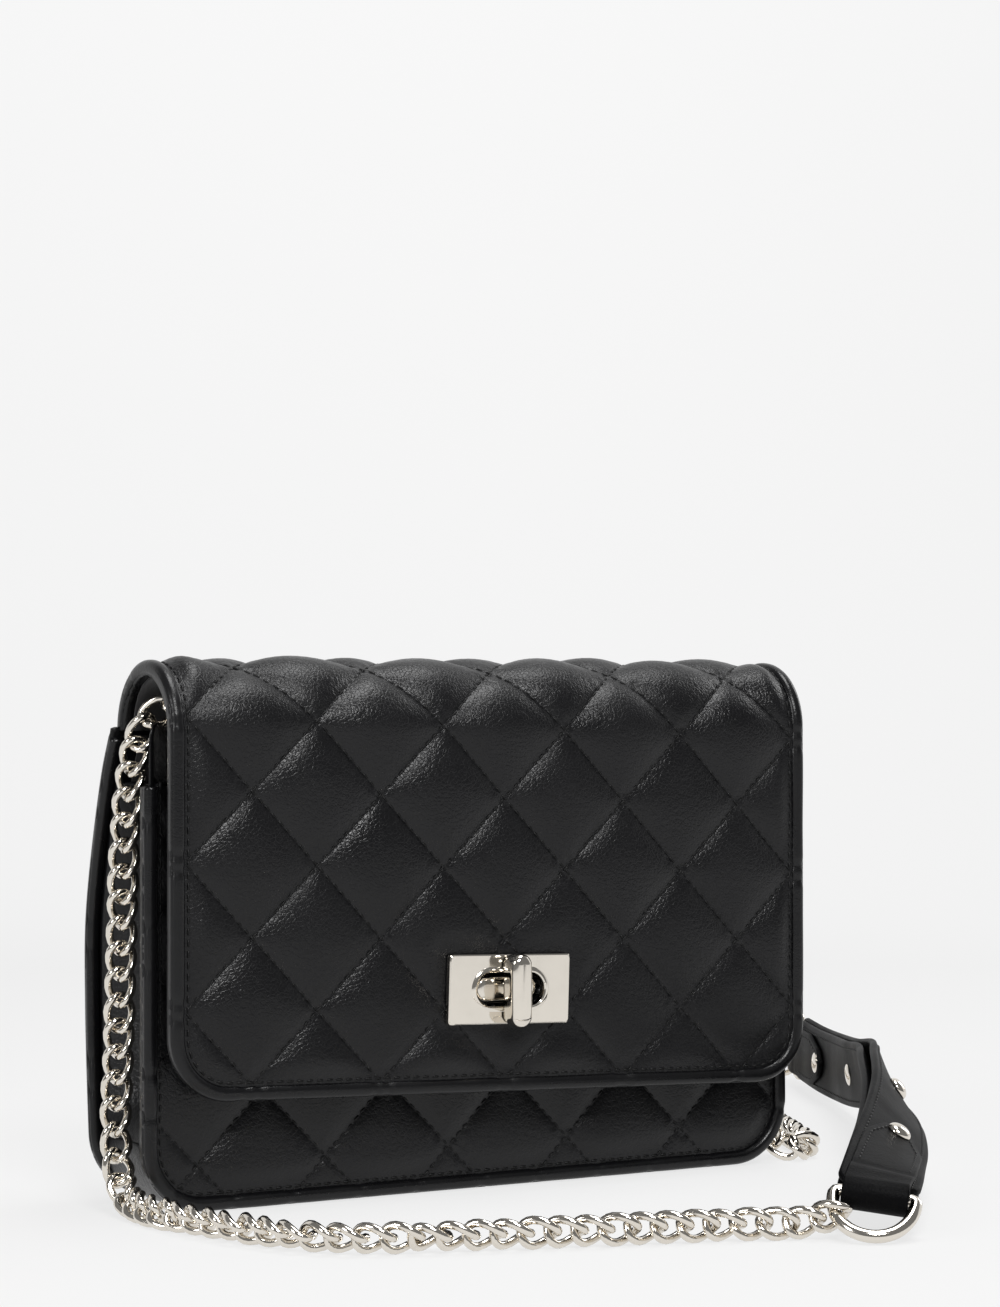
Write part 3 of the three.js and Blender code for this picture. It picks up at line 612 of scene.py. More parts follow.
def dome_rivet(name, frames, distance, stack):
    """A dome rivet: a polished cap on the face, its shank through the layers, and a flat back cap."""
    place, along, across, face = pad_at(frames, distance)
    angle = np.linspace(0, np.pi / 2, 14)
    cap = [(3.5 * math.cos(a), 0.35 + 2.1 * math.sin(a)) for a in angle[:-1]] + [(0.06, 2.45)]
    profile = [(0.05, -0.3), (3.1, -0.3), (3.45, 0.0)] + cap
    turn = np.arange(40) * 2 * np.pi / 40
    patch = Patch()
    for sign, flat in ((1, 1.0), (-1, 0.45)):
        rings = []
        for radius, height in profile:
            out = sign * (stack + height * flat * MM)
            rings.append(place + face * out + MM * radius * (np.cos(turn)[:, None] * along * sign
                                                             + np.sin(turn)[:, None] * across))
        patch.tube(np.array(rings))
    shank = np.array([place + face * s * stack for s in np.linspace(-1, 1, 3)])
    round_tube(shank, 1.2 * MM, 12, tuple(along), patch=patch)
    return patch.piece(name, NICKEL, "purse", "nickel")


def strap_ring(name, node_name, body, frames, end, droop):
    """A cast D-ring: a straight bar with a round bow, hanging from its tab."""
    place, along, across, face = pad_at(frames, 0 if end == 0 else 1.0)
    if end:
        along, face = -along, -face
    half, depth, wire = 10.8 * MM, 15 * MM, 1.75 * MM
    away = -along * math.cos(droop) - face * math.sin(droop)
    corner = 3.2 * MM
    bow = []
    for i in range(41):
        angle = np.pi * i / 40
        reach = math.sin(angle) ** 0.8 * depth
        wide = half * math.cos(angle) * (1 + 0.02 * math.sin(2 * angle))
        bow.append(place + across * wide + away * reach)
    bar = [place + across * s for s in np.linspace(-half + corner / 2, half - corner / 2, 8)]
    line = even(np.vstack([np.array(bow), np.array(bar), bow[:1]]), 1.2 * MM)[:-1]
    for _ in range(2):
        line = (np.roll(line, 1, 0) + 2 * line + np.roll(line, -1, 0)) / 4
    normal = np.cross(across, away)
    piece = round_tube(line, wire, 14, tuple(normal), closed=True).piece(name, NICKEL, body, "nickel")
    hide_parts(node_name)
    return piece


def make_strap():
    frames = pad_frames()
    total = length_of(frames[0])
    rings = {
        "front": strap_ring("ring_front", "strap_ring_front", "strap_ring_front_body", frames, 0, 0.5),
        "rear": strap_ring("ring_rear", "strap_ring_rear", "strap_ring_rear_body", frames, 1, 0.0),
    }
    top, lift = strap_layer("pad_top", frames, 0.15 * MM, 2.3 * MM, 11 * MM, 4.2 * MM, 4.2 * MM,
                            STRAP_LEATHER, 0.9 * MM)
    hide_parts("shoulder_pad")
    back, _ = strap_layer("pad_under", frames, -2.45 * MM, 2.3 * MM, 10.7 * MM, 4.2 * MM, 4.2 * MM,
                          STRAP_LEATHER, -0.9 * MM)
    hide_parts("pad_backing")
    place, _, across, face = frames
    seam = Patch()
    run = np.linspace(0, total, len(place))
    keep = (run > 6 * MM) & (run < total - 6 * MM)
    for side in (-1, 1):
        for sign in (1, -1):
            surface = place + face * (sign * (2.5 * MM) + sign * lift)[:, None]
            line = surface + across * side * 8.6 * MM
            stitches(seam, line[keep], face[keep] * sign, radius=0.32 * MM)
    seam.piece("pad_stitches", THREAD, "purse", "leather")
    for end, word in ((0, "front"), (1, "rear")):
        distances = (lambda d: d) if end == 0 else (lambda d: total - d)
        tab = folded_tab(f"tab_{word}", frames, distances, 17.5 * MM)
        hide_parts(f"strap_tab_{word}")
        first = dome_rivet(f"rivet_tab_{word}", frames, distances(56 * MM), 4.4 * MM)
        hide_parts(f"tab_rivet_{word}")
        second = dome_rivet(f"rivet_pad_{word}", frames, distances(120 * MM), 3.2 * MM)
        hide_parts(f"pad_rivet_{word}")
    return rings


# ---------- outlines of the quilted panels ----------
class Panel:
    """A quilted panel as a flat pattern. Its points are (x, s): s runs up the panel's own profile."""

    def __init__(self, half, low, corner, top, lean=0.0):
        self.half, self.low, self.corner, self.top, self.lean = half, low, corner, top, lean

    def inside(self, x, s):
        """How far a point of the pattern lies inside the outline, negative outside."""
        across = np.abs(x) - (self.half - self.corner)
        down = self.low + self.corner - (s + self.lean * x)
        outer = np.hypot(np.maximum(across, 0), np.maximum(down, 0)) - self.corner
        distance = np.minimum(np.maximum(across, down), 0) + outer
        return np.minimum(-distance, self.top - s)

    def onto_edge(self, x, s):
        """Moves points that lie outside the outline onto it."""
        small = 0.02 * MM
        for _ in range(4):
            depth = self.inside(x, s)
            to_x = (self.inside(x + small, s) - depth) / small
            to_s = (self.inside(x, s + small) - depth) / small
            size = np.maximum(to_x ** 2 + to_s ** 2, 0.2)
            push = np.where(depth < 0, -depth, 0) / size
            x, s = x + to_x * push, s + to_s * push
        return x, s

    def border(self, inset, step):
        """The outline, moved inwards: down the left side, along the bottom, up the right side."""
        half, radius = self.half - inset, max(self.corner - inset, 0.5 * MM)
        low, top = self.low + inset, self.top
        turn = np.linspace(0, np.pi / 2, 14)
        corner = [(radius - radius * math.cos(a), low + radius - radius * math.sin(a)) for a in turn]
        points = [(-half, top)] + [(-half + across, s) for across, s in corner]
        points += [(half - across, s) for across, s in corner[::-1]] + [(half, top)]
        return even(np.array([(x, s - self.lean * x) for x, s in points]), step)


def flap_place(x, s, lift):
    """A point of the flap pattern in space: up the front, over the arch and down to the hinge."""
    angle = np.clip((s - ARCH_Z) / ARCH_RADIUS, 0, np.pi)
    radius = ARCH_RADIUS + lift
    on_arch = s > ARCH_Z
    y = np.where(on_arch, ARCH_Y - radius * np.cos(angle), FLAP_FACE - lift)
    z = np.where(on_arch, ARCH_Z + radius * np.sin(angle), s)
    return np.stack([x, y, z], -1)


def front_place(x, s, lift):
    return np.stack([x + 0 * s, FRONT_FACE - lift + 0 * x, s + 0 * x], -1)


BACK_RUN = smooth_line(np.pad(BACK_LINE, ((0, 0), (1, 0))), 0.5 * MM)[:, 1:]
BACK_RUN = even(np.vstack([BACK_RUN, BACK_RUN[-1] + [-0.3 * MM, BACK_TUCK]]), 0.5 * MM)
BACK_OUT = unit(np.stack([np.gradient(BACK_RUN[:, 1]), -np.gradient(BACK_RUN[:, 0])], 1))
BACK_STEPS = np.linspace(0, length_of(BACK_RUN), len(BACK_RUN))


def back_place(x, s, lift):
    """A point of the back pattern: s is the length up the back's curved profile from the floor."""
    s = np.clip(s, 0, BACK_STEPS[-1])
    y = np.interp(s, BACK_STEPS, BACK_RUN[:, 0]) + lift * np.interp(s, BACK_STEPS, BACK_OUT[:, 0])
    z = np.interp(s, BACK_STEPS, BACK_RUN[:, 1]) + lift * np.interp(s, BACK_STEPS, BACK_OUT[:, 1])
    return np.stack([x + 0 * y, y, z], -1)


def back_at(z):
    return np.interp(z, BACK_RUN[:, 1], BACK_RUN[:, 0])


# ---------- quilting ----------
class Quilt:
    """Diamonds on a pattern: (u, v) count the diamonds across, and each whole number is a seam."""

    def __init__(self, width, height, at, slope=0.0):
        self.width, self.height, self.at, self.slope = width, height, at, slope

    def to_uv(self, x, s):
        side, rise = (x - self.at[0]) / self.width, (s + self.slope * x - self.at[1]) / self.height
        return side + rise, side - rise

    def to_pattern(self, u, v):
        x = self.at[0] + self.width * (u + v) / 2
        return x, self.at[1] + self.height * (u - v) / 2 - self.slope * x


def ripple(x, s, seed):
    """A slow, even unevenness between -1 and 1, as in hand-guided sewing."""
    total = np.zeros(np.broadcast(x, s).shape)
    for k in range(1, 5):
        turn = seed * 1.7 + k * 2.4
        wave = 2 * np.pi / (9 * MM + 7 * MM * k)
        total = total + np.sin(wave * (x * math.cos(turn) + s * math.sin(turn)) + seed + k * k)
    return total / 4


def quilt_lift(panel, quilt, x, s, swell, plate=None, valley=-0.8 * MM):
    """Height of the quilted surface over the pattern: puffs between seams, flat at edge and plate."""
    u, v = quilt.to_uv(x, s)
    a, b = u - np.floor(u), v - np.floor(v)
    soft = 3.4 * MM + 1.4 * MM * smoothstep(s, 105 * MM, 150 * MM)
    from_seams = [np.sin(np.pi * part) * SEAM_SIDE / np.pi for part in (a, b)]
    shoulder = (1 - np.exp(-from_seams[0] / soft)) * (1 - np.exp(-from_seams[1] / soft))
    puff = shoulder * (0.72 + 0.28 * np.sin(np.pi * a) * np.sin(np.pi * b))
    # No two diamonds are filled quite alike.
    cell = np.sin(12.9898 * np.floor(u) + 78.233 * np.floor(v)) * 43758.5453
    uneven = 0.85 + 0.3 * (cell - np.floor(cell))
    edge = smoothstep(panel.inside(x, s), 3.6 * MM, 10.5 * MM) ** 0.8
    height = swell(s) * puff * uneven * edge
    base = valley + 0 * x
    if plate is not None:
        beside = np.maximum(np.abs(x) - plate[0], 0)
        beyond = np.maximum(np.abs(s + FLAP_LEAN * x - LOCK_Z) - plate[1], 0)
        near = smoothstep(np.hypot(beside, beyond), 0.2 * MM, 7 * MM)
        height, base = height * near, base + (1 - near) * 0.6 * MM
    # Small puckers where the thread pulls the leather in.
    for across, along in ((a, v), (b, u)):
        to_seam = np.minimum(across, 1 - across) * SEAM_SIDE
        pull = np.exp(-(to_seam / (3.2 * MM)) ** 2) * edge
        height = height + 0.13 * MM * pull * np.sin(along * SEAM_SIDE * 2 * np.pi / PUCKER + 6 * a)
    return base + height + 0.22 * MM * ripple(x, s, 1.3) * edge


def quilted_sheet(panel, quilt, place, lift, thickness, hole=None, fine=24):
    """A closed quilted sheet whose grid lines follow the seams, trimmed to the panel's outline."""
    reach = panel.half + 6 * MM
    corners = [quilt.to_uv(x, s) for x in (-reach, reach) for s in (panel.low - 8 * MM, panel.top + 6 * MM)]
    spans = [(math.floor(min(c[i] for c in corners)), math.ceil(max(c[i] for c in corners)))
             for i in (0, 1)]
    share = np.arange(fine) / fine
    share = share - 0.1 * np.sin(2 * np.pi * share)
    lines = [np.concatenate([(np.arange(*span)[:, None] + share).ravel(), [span[1]]]) for span in spans]
    u, v = np.meshgrid(*lines, indexing="ij")
    x, s = quilt.to_pattern(u, v)
    depth = panel.inside(x, s)
    index = np.arange(u.size).reshape(u.shape)
    quads = np.stack([index[:-1, :-1], index[1:, :-1], index[1:, 1:], index[:-1, 1:]], -1).reshape(-1, 4)
    keep = (depth.ravel()[quads] > 0.15 * MM).any(1)
    if hole is not None:
        keep &= ~(hole(x, s).ravel()[quads] > 0).all(1)
    quads = quads[keep]
    used, quads = np.unique(quads, return_inverse=True)
    quads = quads.reshape(-1, 4)
    x, s = panel.onto_edge(x.ravel()[used], s.ravel()[used])
    outer = place(x, s, lift(x, s))
    inner = place(x, s, -thickness + 0 * x)
    sides = np.concatenate([quads[:, [i, (i + 1) % 4]] for i in range(4)])
    known = {tuple(edge) for edge in sides.tolist()}
    rim = [edge for edge in known if edge[::-1] not in known]
    patch = Patch().add(outer, quads[:, ::-1])
    patch.add(inner, quads)
    shift = len(outer)
    patch.faces.extend([(a, b, b + shift, a + shift) for a, b in rim])
    return patch


def surface_line(place, lift, x, s):
    """A line of the pattern on its surface, with the directions out of the surface."""
    small = 0.4 * MM
    points = place(x, s, lift(x, s))
    normal = place(x, s, 0 * x + small) - place(x, s, 0 * x)
    return points, unit(normal)


def seam_stitches(patch, panel, quilt, place, lift, clear=None, edge=5.2 * MM):
    """Stitches along every seam of the quilting."""
    reach = panel.half
    corners = [quilt.to_uv(x, s) for x in (-reach, reach) for s in (panel.low, panel.top)]
    spans = [(math.ceil(min(c[i] for c in corners)), math.floor(max(c[i] for c in corners)))
             for i in (0, 1)]
    for family in (0, 1):
        other = np.linspace(spans[1 - family][0] - 1, spans[1 - family][1] + 1, 900)
        for number in range(spans[family][0], spans[family][1] + 1):
            fixed = np.full(len(other), float(number))
            x, s = quilt.to_pattern(*((fixed, other) if family == 0 else (other, fixed)))
            good = panel.inside(x, s) > edge
            good |= (panel.top - s < edge) & (np.abs(x) < panel.half - edge) & (s < panel.top)
            if clear is not None:
                good &= clear(x, s)
            starts = np.flatnonzero(np.diff(np.concatenate([[0], good.astype(int), [0]])))
            for start, end in starts.reshape(-1, 2):
                if end - start > 8:
                    points, normal = surface_line(place, lift, x[start:end], s[start:end])
                    stitches(patch, points, normal)
    return patch


def edge_band(panel, quilt, place, name, body, inset, width, depth, offset, top_trim=0.0):
    """A rolled band of leather round a panel; the quilting seams pinch it where they run under it."""
    line = panel.border(inset, 0.9 * MM)
    line = line[line[:, 1] <= panel.top - top_trim]
    x, s = line[:, 0], line[:, 1]
    points = place(x, s, offset + 0 * x)
    normal = unit(place(x, s, offset + 1 * MM + 0 * x) - points)
    along = tangents(points)
    outwards = np.cross(normal, along)
    u, v = quilt.to_uv(x, s)
    pinch = np.zeros(len(x))
    for count in (u, v):
        to_seam = np.abs(count - np.round(count)) * SEAM_SIDE
        pinch += np.exp(-(to_seam / (0.9 * MM)) ** 2)
    size = 1 - 0.13 * pinch + 0.035 * ripple(x, s, 2.1)
    section = box_section(width / 2, depth / 2, min(width, depth) * 0.43, 5)
    rings = points[:, None] + size[:, None, None] * (outwards[:, None] * section[None, :, :1]
                                                     + normal[:, None] * section[None, :, 1:])
    return Patch().tube(rings).piece(name, EDGE_LEATHER, body, "leather")


def border_stitches(patch, panel, place, lift, inset, top_trim=0.0):
    line = panel.border(inset, 0.8 * MM)
    line = line[line[:, 1] <= panel.top - top_trim]
    points, normal = surface_line(place, lift, line[:, 0], line[:, 1])
    return stitches(patch, points, normal, radius=0.36 * MM)


# ---------- flap ----------
FLAP_TOP = ARCH_Z + math.pi * ARCH_RADIUS
FLAP = Panel(FLAP_HALF, FLAP_LOW, FLAP_CORNER, FLAP_TOP, FLAP_LEAN)
FLAP_QUILT = Quilt(QUILT_WIDE, QUILT_TALL, (0.0, 72 * MM), 0.04)


def bend_with_flap(piece):
    """Bakes the piece's placement into its mesh; the piece is not tied to the hinge and does not turn with
    it.
    """
    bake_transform(piece)


def flap_swell(s):
    """The puffs stand higher where the leather is loose over the top."""
    return (2.5 + 1.5 * smoothstep(s, 105 * MM, 150 * MM) - 2.6 * smoothstep(s, 170 * MM, 187 * MM)) * MM


def flap_lift(x, s):
    return quilt_lift(FLAP, FLAP_QUILT, x, s, flap_swell, PLATE_HALF)


def lock_hole(x, s):
    """Positive inside the slot that is cut through the flap for the turn lock."""
    across = np.maximum(np.abs(x) - 6.2 * MM, 0)
    return 5.9 * MM - np.hypot(across, s + FLAP_LEAN * x - LOCK_Z)


def off_plate(x, s):
    clear = PLATE_HALF + 1 * MM
    return (np.abs(x) > clear[0]) | (np.abs(s + FLAP_LEAN * x - LOCK_Z) > clear[1])


def make_flap():
    sheet = quilted_sheet(FLAP, FLAP_QUILT, flap_place, flap_lift, 3.6 * MM, lock_hole)
    leather = sheet.piece("flap_quilted_leather", SOFT_LEATHER, None, "leather")
    bend_with_flap(leather)
    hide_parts("flap_panel", "flap_padding")
    band = edge_band(FLAP, FLAP_QUILT, flap_place, "flap_edge_band", None, 2.0 * MM, BAND + 0.2 * MM,
                     4.6 * MM, -1.9 * MM)
    bend_with_flap(band)
    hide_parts("flap_band")
    thread = Patch()
    seam_stitches(thread, FLAP, FLAP_QUILT, flap_place, flap_lift, off_plate)
    border_stitches(thread, FLAP, flap_place, flap_lift, 4.9 * MM)
    stitched = thread.piece("flap_stitches", THREAD, None, "leather")
    bend_with_flap(stitched)
    # The lining, a plain cloth sheet under the leather, eased a little at the bend.
    rows, cols = np.meshgrid(np.linspace(0, 1, 90), np.linspace(-1, 1, 80), indexing="ij")
    x = cols * (FLAP.half - 3.4 * MM)
    past_corner = np.clip((np.abs(cols) - 0.86) / 0.14, 0, 1)
    foot = FLAP_LOW + 3.2 * MM + 13 * MM * (1 - np.sqrt(np.clip(1 - past_corner ** 2, 0, 1)))
    s = foot - FLAP_LEAN * x + rows * (FLAP_TOP - foot + FLAP_LEAN * x)
    wave = 0.25 * MM * ripple(x, s, 4.2)
    outer = flap_place(x, s, -3.7 * MM + 0 * wave)
    inner = flap_place(x, s, -4.75 * MM + wave)
    slot = lock_hole(x, s) > 0
    lining = Patch().slab(outer, inner)
    size = slot.size
    lining.faces = [f for f in lining.faces if not all(slot.ravel()[i % size] for i in f)]
    cloth = lining.piece("flap_lining_cloth", LINING, None, "lining")
    bend_with_flap(cloth)
    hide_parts("flap_lining")


# ---------- body ----------
FRONT = Panel(BODY_HALF, 0.4 * MM, BODY_CORNER, FRONT_TOP)
FRONT_QUILT = Quilt(39 * MM, QUILT_TALL, (-11 * MM, 13 * MM))
BACK = Panel(BODY_HALF, 0.4 * MM, BODY_CORNER, BACK_STEPS[-1])
BACK_QUILT = Quilt(QUILT_WIDE, QUILT_TALL, (0.0, BACK_STEPS[-1] - BACK_TUCK))
SIDE = high("gusset_right")[0]
STRIP_FRONT = low("base_panel")[1]
GUSSET_LOW = BODY_CORNER - 5 * MM                    # where the gussets start, above the base
GUSSET_TOP = high("gusset_right")[2]


def front_lift(x, s):
    return quilt_lift(FRONT, FRONT_QUILT, x, s, lambda s: 2.4 * MM + 0 * s)


def back_lift(x, s):
    height = quilt_lift(BACK, BACK_QUILT, x, s, lambda s: 2.0 * MM + 0 * s, valley=-0.6 * MM)
    return height - (height + 1.2 * MM) * smoothstep(s, BACK_STEPS[-1] - 3 * MM, BACK_STEPS[-1] - 0.8 * MM)


def make_front():
    leather = quilted_sheet(FRONT, FRONT_QUILT, front_place, front_lift, 3.4 * MM)
    piece = leather.piece("front_quilted_leather", SOFT_LEATHER, "purse", "leather")
    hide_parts("front_panel", "front_padding")
    band = edge_band(FRONT, FRONT_QUILT, front_place, "front_edge_band", "purse", 2.0 * MM, BAND, 4.0 * MM,
                     -1.1 * MM)
    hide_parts("front_band")
    thread = Patch()
    seam_stitches(thread, FRONT, FRONT_QUILT, front_place, front_lift)
    border_stitches(thread, FRONT, front_place, front_lift, 4.8 * MM)
    thread.piece("front_stitches", THREAD, "purse", "leather")
    # A folded strip of leather binds the top edge of the front, under the flap.
    x = np.linspace(low("mouth_binding")[0], high("mouth_binding")[0], 120)
    middle = (low("mouth_binding") + high("mouth_binding")) / 2
    line = np.stack([x, middle[1] + 0 * x, middle[2] + 0.3 * MM * np.sin(x * 70)], 1)
    section = box_section(2.6 * MM, 1.25 * MM, 1.1 * MM, 5)
    rings = line[:, None] + section[:, :1] * [0, 1, 0] + section[:, 1:] * [0, 0, 1]
    bound = Patch().tube(rings).piece("mouth_edge_binding", EDGE_LEATHER, "purse", "leather")
    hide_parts("mouth_binding")


def make_back():
    leather = quilted_sheet(BACK, BACK_QUILT, back_place, back_lift, 1.7 * MM)
    piece = leather.piece("back_quilted_leather", SOFT_LEATHER, "purse", "leather")
    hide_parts("back_panel")
    band = edge_band(BACK, BACK_QUILT, back_place, "back_edge_band", "purse", 2.0 * MM, BAND, 3.8 * MM,
                     -1.6 * MM, top_trim=2 * MM)
    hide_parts("back_band")
    thread = Patch()
    seam_stitches(thread, BACK, BACK_QUILT, back_place, back_lift)
    border_stitches(thread, BACK, back_place, back_lift, 4.8 * MM, top_trim=3 * MM)
    thread.piece("back_stitches", THREAD, "purse", "leather")


def gusset_place(side, rise, across, lift):
    """A point of a side gusset: rise from the base corner to the mouth, across from front to back."""
    z = GUSSET_LOW + rise * (GUSSET_TOP - GUSSET_LOW)
    back = back_at(z) - 3.7 * MM
    y = STRIP_FRONT + across * (back - STRIP_FRONT)
    fold = (1.2 + 8.6 * smoothstep(rise, 0.0, 0.2) + 5.6 * rise) * MM
    valley = np.sin(np.pi * across) ** 1.25
    crease = 0.5 * MM * np.exp(-((across - 0.5) / 0.05) ** 2) * rise
    wave = 0.45 * MM * ripple(y * 1.4, z, 3.3) * np.sin(np.pi * across)
    x = SIDE - fold * valley - crease + wave - lift
    return np.stack([side * x, y, z], -1)


def make_gusset_ear(side, word):
    """The leaf of leather in which the front fold of a gusset ends, standing up under the flap."""
    low_end, tall = 97 * MM, 36 * MM
    t, u = np.meshgrid(np.linspace(0, 1, 60), np.linspace(-1, 1, 22), indexing="ij")
    point = 0.1 + 0.9 * smoothstep(t, -0.05, 0.5)
    crown = np.sqrt(np.clip(1 - (np.clip(t - 0.86, 0, 1) / 0.1405) ** 2, 0.002, 1))
    across = 0.085 + 0.07 * u * point * crown
    z = low_end + tall * t
    rise = np.minimum((z - GUSSET_LOW) / (GUSSET_TOP - GUSSET_LOW), 1)
    puff = (0.5 + 1.3 * np.sqrt(np.clip(1 - u * u, 0, 1)) * point * crown) * MM
    outer, inner = gusset_place(side, rise, across, -puff), gusset_place(side, rise, across, 0.3 * MM)
    outer[..., 2], inner[..., 2] = z, z
    patch = Patch().slab(outer, inner) if side < 0 else Patch().slab(inner, outer)
    patch.piece(f"{word}_gusset_ear", EDGE_LEATHER, "purse", "leather")


def make_gussets():
    for side, word in ((-1, "left"), (1, "right")):
        rise, across = np.meshgrid(np.linspace(0, 1, 70), np.linspace(0, 1, 44), indexing="ij")
        outer, inner = gusset_place(side, rise, across, 0), gusset_place(side, rise, across, LEATHER)
        patch = Patch().slab(outer, inner) if side < 0 else Patch().slab(inner, outer)
        piece = patch.piece(f"{word}_gusset_leather", SOFT_LEATHER, "purse", "leather")
        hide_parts(f"gusset_{word}")
        # The turned top edge of the gusset, with its line of stitches.
        edge = np.linspace(0.02, 0.98, 60)
        top = gusset_place(side, 1 + 0 * edge, edge, LEATHER / 2)
        first, second = carried_frames(top, (0, 0, 1))
        rings = rings_along(top, first, second, box_section(1.9 * MM, 1.25 * MM, 1.1 * MM, 4))
        turned = Patch().tube(rings).piece(f"{word}_gusset_edge", EDGE_LEATHER, "purse", "leather")
        turned.location.z -= 1.2 * MM
        thread = Patch()
        run = gusset_place(side, 0.955 + 0 * edge, edge, 0)
        normal = unit(gusset_place(side, 0.955 + 0 * edge, edge, -1 * MM) - run)
        stitches(thread, run, normal)
        thread.piece(f"{word}_gusset_stitches", THREAD, "purse", "leather")
        make_gusset_ear(side, word)


def make_base():
    """The strip under the purse turns up round both lower corners to meet the gussets."""
    radius, half, top = BODY_CORNER - 3.5 * MM, SIDE, high("base_panel")[2]
    turn = np.linspace(0, np.pi / 2, 16)
    corner = [(radius * (1 - math.cos(a)), radius * (1 - math.sin(a))) for a in turn]
    outline = [(-half, top)] + [(-half + across, z) for across, z in corner]
    outline += [(x, 0.0) for x in np.linspace(-half + radius, half - radius, 40)[1:-1]]
    outline += [(half - across, z) for across, z in corner[::-1]] + [(half, top)]
    line = np.array(outline)
    inward = unit(np.stack([-np.gradient(line[:, 1]), np.gradient(line[:, 0])], 1))
    across = np.linspace(0, 1, 24)
    y = STRIP_FRONT + across * (high("base_panel")[1] - STRIP_FRONT)

    def sheet(lift):
        x = (line[:, 0] + inward[:, 0] * lift)[:, None] + 0 * y
        z = (line[:, 1] + inward[:, 1] * lift)[:, None] + 0 * y
        return np.stack([x, y + 0 * x, z], -1)

    strip = Patch().slab(sheet(0.1 * MM), sheet(1.8 * MM))
    piece = strip.piece("base_leather", SOFT_LEATHER, "purse", "leather")
    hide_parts("base_panel")


def make_linings():
    """Cloth inside the purse: the front and back linings and the slip pocket on the back."""
    rows, cols = np.meshgrid(np.linspace(0, 1, 60), np.linspace(-1, 1, 90), indexing="ij")
    half, foot = high("front_lining")[0], 4.5 * MM
    for name, place, depth, top in (("front", front_place, 3.8 * MM, FRONT_TOP),
                                    ("back", back_place, 1.9 * MM, BACK_STEPS[-1] - 2 * MM)):
        corner = 9 * MM * np.clip((np.abs(cols) - 0.9) / 0.1, 0, 1) ** 2
        s = foot + corner + rows * (top - foot - corner)
        x = cols * half
        wave = 0.3 * MM * ripple(x, s, 5.1 + len(name))
        outer, inner = place(x, s, -depth + 0 * wave), place(x, s, -depth - 0.9 * MM + wave)
        patch = Patch().slab(outer, inner)
        piece = patch.piece(f"{name}_lining_cloth", LINING, "purse", "lining")
        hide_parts(f"{name}_lining")
    x = cols * high("inner_pocket")[0]
    s = 26 * MM + rows * 73 * MM
    belly = (1 - cols ** 2) * (0.35 + 0.65 * rows)
    outer = back_place(x, s, -3.2 * MM + 0 * x)
    inner = back_place(x, s, -4.2 * MM - 1.1 * MM * belly + 0.2 * MM * ripple(x, s, 6.4))
    pocket = Patch().slab(outer, inner).piece("slip_pocket_cloth", LINING, "purse", "lining")
    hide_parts("inner_pocket")
    hem = back_place(cols[0] * (high("inner_pocket")[0] - 2 * MM), 96.5 * MM + 0 * cols[0],
                     -5.2 * MM - 1.1 * MM * (1 - cols[0] ** 2))
    thread = stitches(Patch(), hem, np.tile([0.0, -1.0, 0.0], (len(hem), 1)), radius=0.22 * MM)
    thread.piece("slip_pocket_stitches", THREAD, "purse", "lining")


# ---------- turn lock ----------
def tilted(points):
    """Turns points about the lock's centre by the lean of the flap."""
    cos, sin = math.cos(FLAP_LEAN), math.sin(FLAP_LEAN)
    x, y, z = points[..., 0], points[..., 1], points[..., 2] - LOCK_Z
    return np.stack([x * cos + z * sin, y, z * cos - x * sin + LOCK_Z], -1)


def slot_outline(half_wide, radius, directions):
    """Points where rays from the centre meet a slot with round ends."""
    shift = half_wide - radius
    points = []
    for dx, dz in directions:
        reach = radius / max(abs(dz), 1e-9)
        if abs(dx) * reach > shift:
            b = -abs(dx) * shift
            reach = -b + math.sqrt(max(b * b - (shift * shift - radius * radius), 0))
        points.append((dx * reach, dz * reach))
    return np.array(points)


def plate_mesh(front, back, half, slot, rim, bevel=0.35 * MM):
    """A bevelled plate with a slot whose front edge is raised in a small rounded rim."""
    corners = box_section(half[0], half[1], 0.9 * MM, 3)
    outline = []
    for a, b in zip(corners, np.roll(corners, -1, 0)):
        parts = max(1, int(np.linalg.norm(b - a) / (1.1 * MM)))
        outline += [a + (b - a) * i / parts for i in range(parts)]
    outer = np.array(outline)
    directions = unit(outer)
    small = outer - np.sign(outer) * bevel * (np.abs(outer) > half - 1.2 * MM)
    slots = [slot_outline(slot[0] + d, slot[1] + d, directions) for d in (rim, rim * 0.7, rim * 0.25, 0.0)]
    depth = 0.5 * MM
    levels = [(outer, back), (outer, front + bevel), (small, front), (slots[0], front),
              (slots[1], front - depth * 0.8), (slots[2], front - depth), (slots[3], front - depth * 0.4),
              (slots[3], back)]
    rings = [np.stack([p[:, 0], np.full(len(p), y), p[:, 1] + LOCK_Z], 1) for p, y in levels]
    return Patch().tube(tilted(np.array(rings)), loop=True)


def bar_mesh(patch, half_wide, half_tall, profile):
    """A block with round ends about the lock's centre; profile gives (inset, y) from front to back."""
    upright = half_tall > half_wide
    long, short = max(half_wide, half_tall), min(half_wide, half_tall)
    angle = np.arange(64) * 2 * np.pi / 64
    rings = []
    for inset, y in profile:
        radius = max(short - inset, 0.05 * MM)
        shift = (long - short) * np.sign(np.cos(angle)) * np.minimum(1, 6 * np.abs(np.cos(angle)))
        a = radius * np.cos(angle) + shift
        b = radius * np.sin(angle)
        x, z = (b, a) if upright else (a, b)
        rings.append(np.stack([x, np.full(64, y), z + LOCK_Z], 1))
    rings = np.array(rings)
    return patch.tube(rings if not upright else rings[:, ::-1])


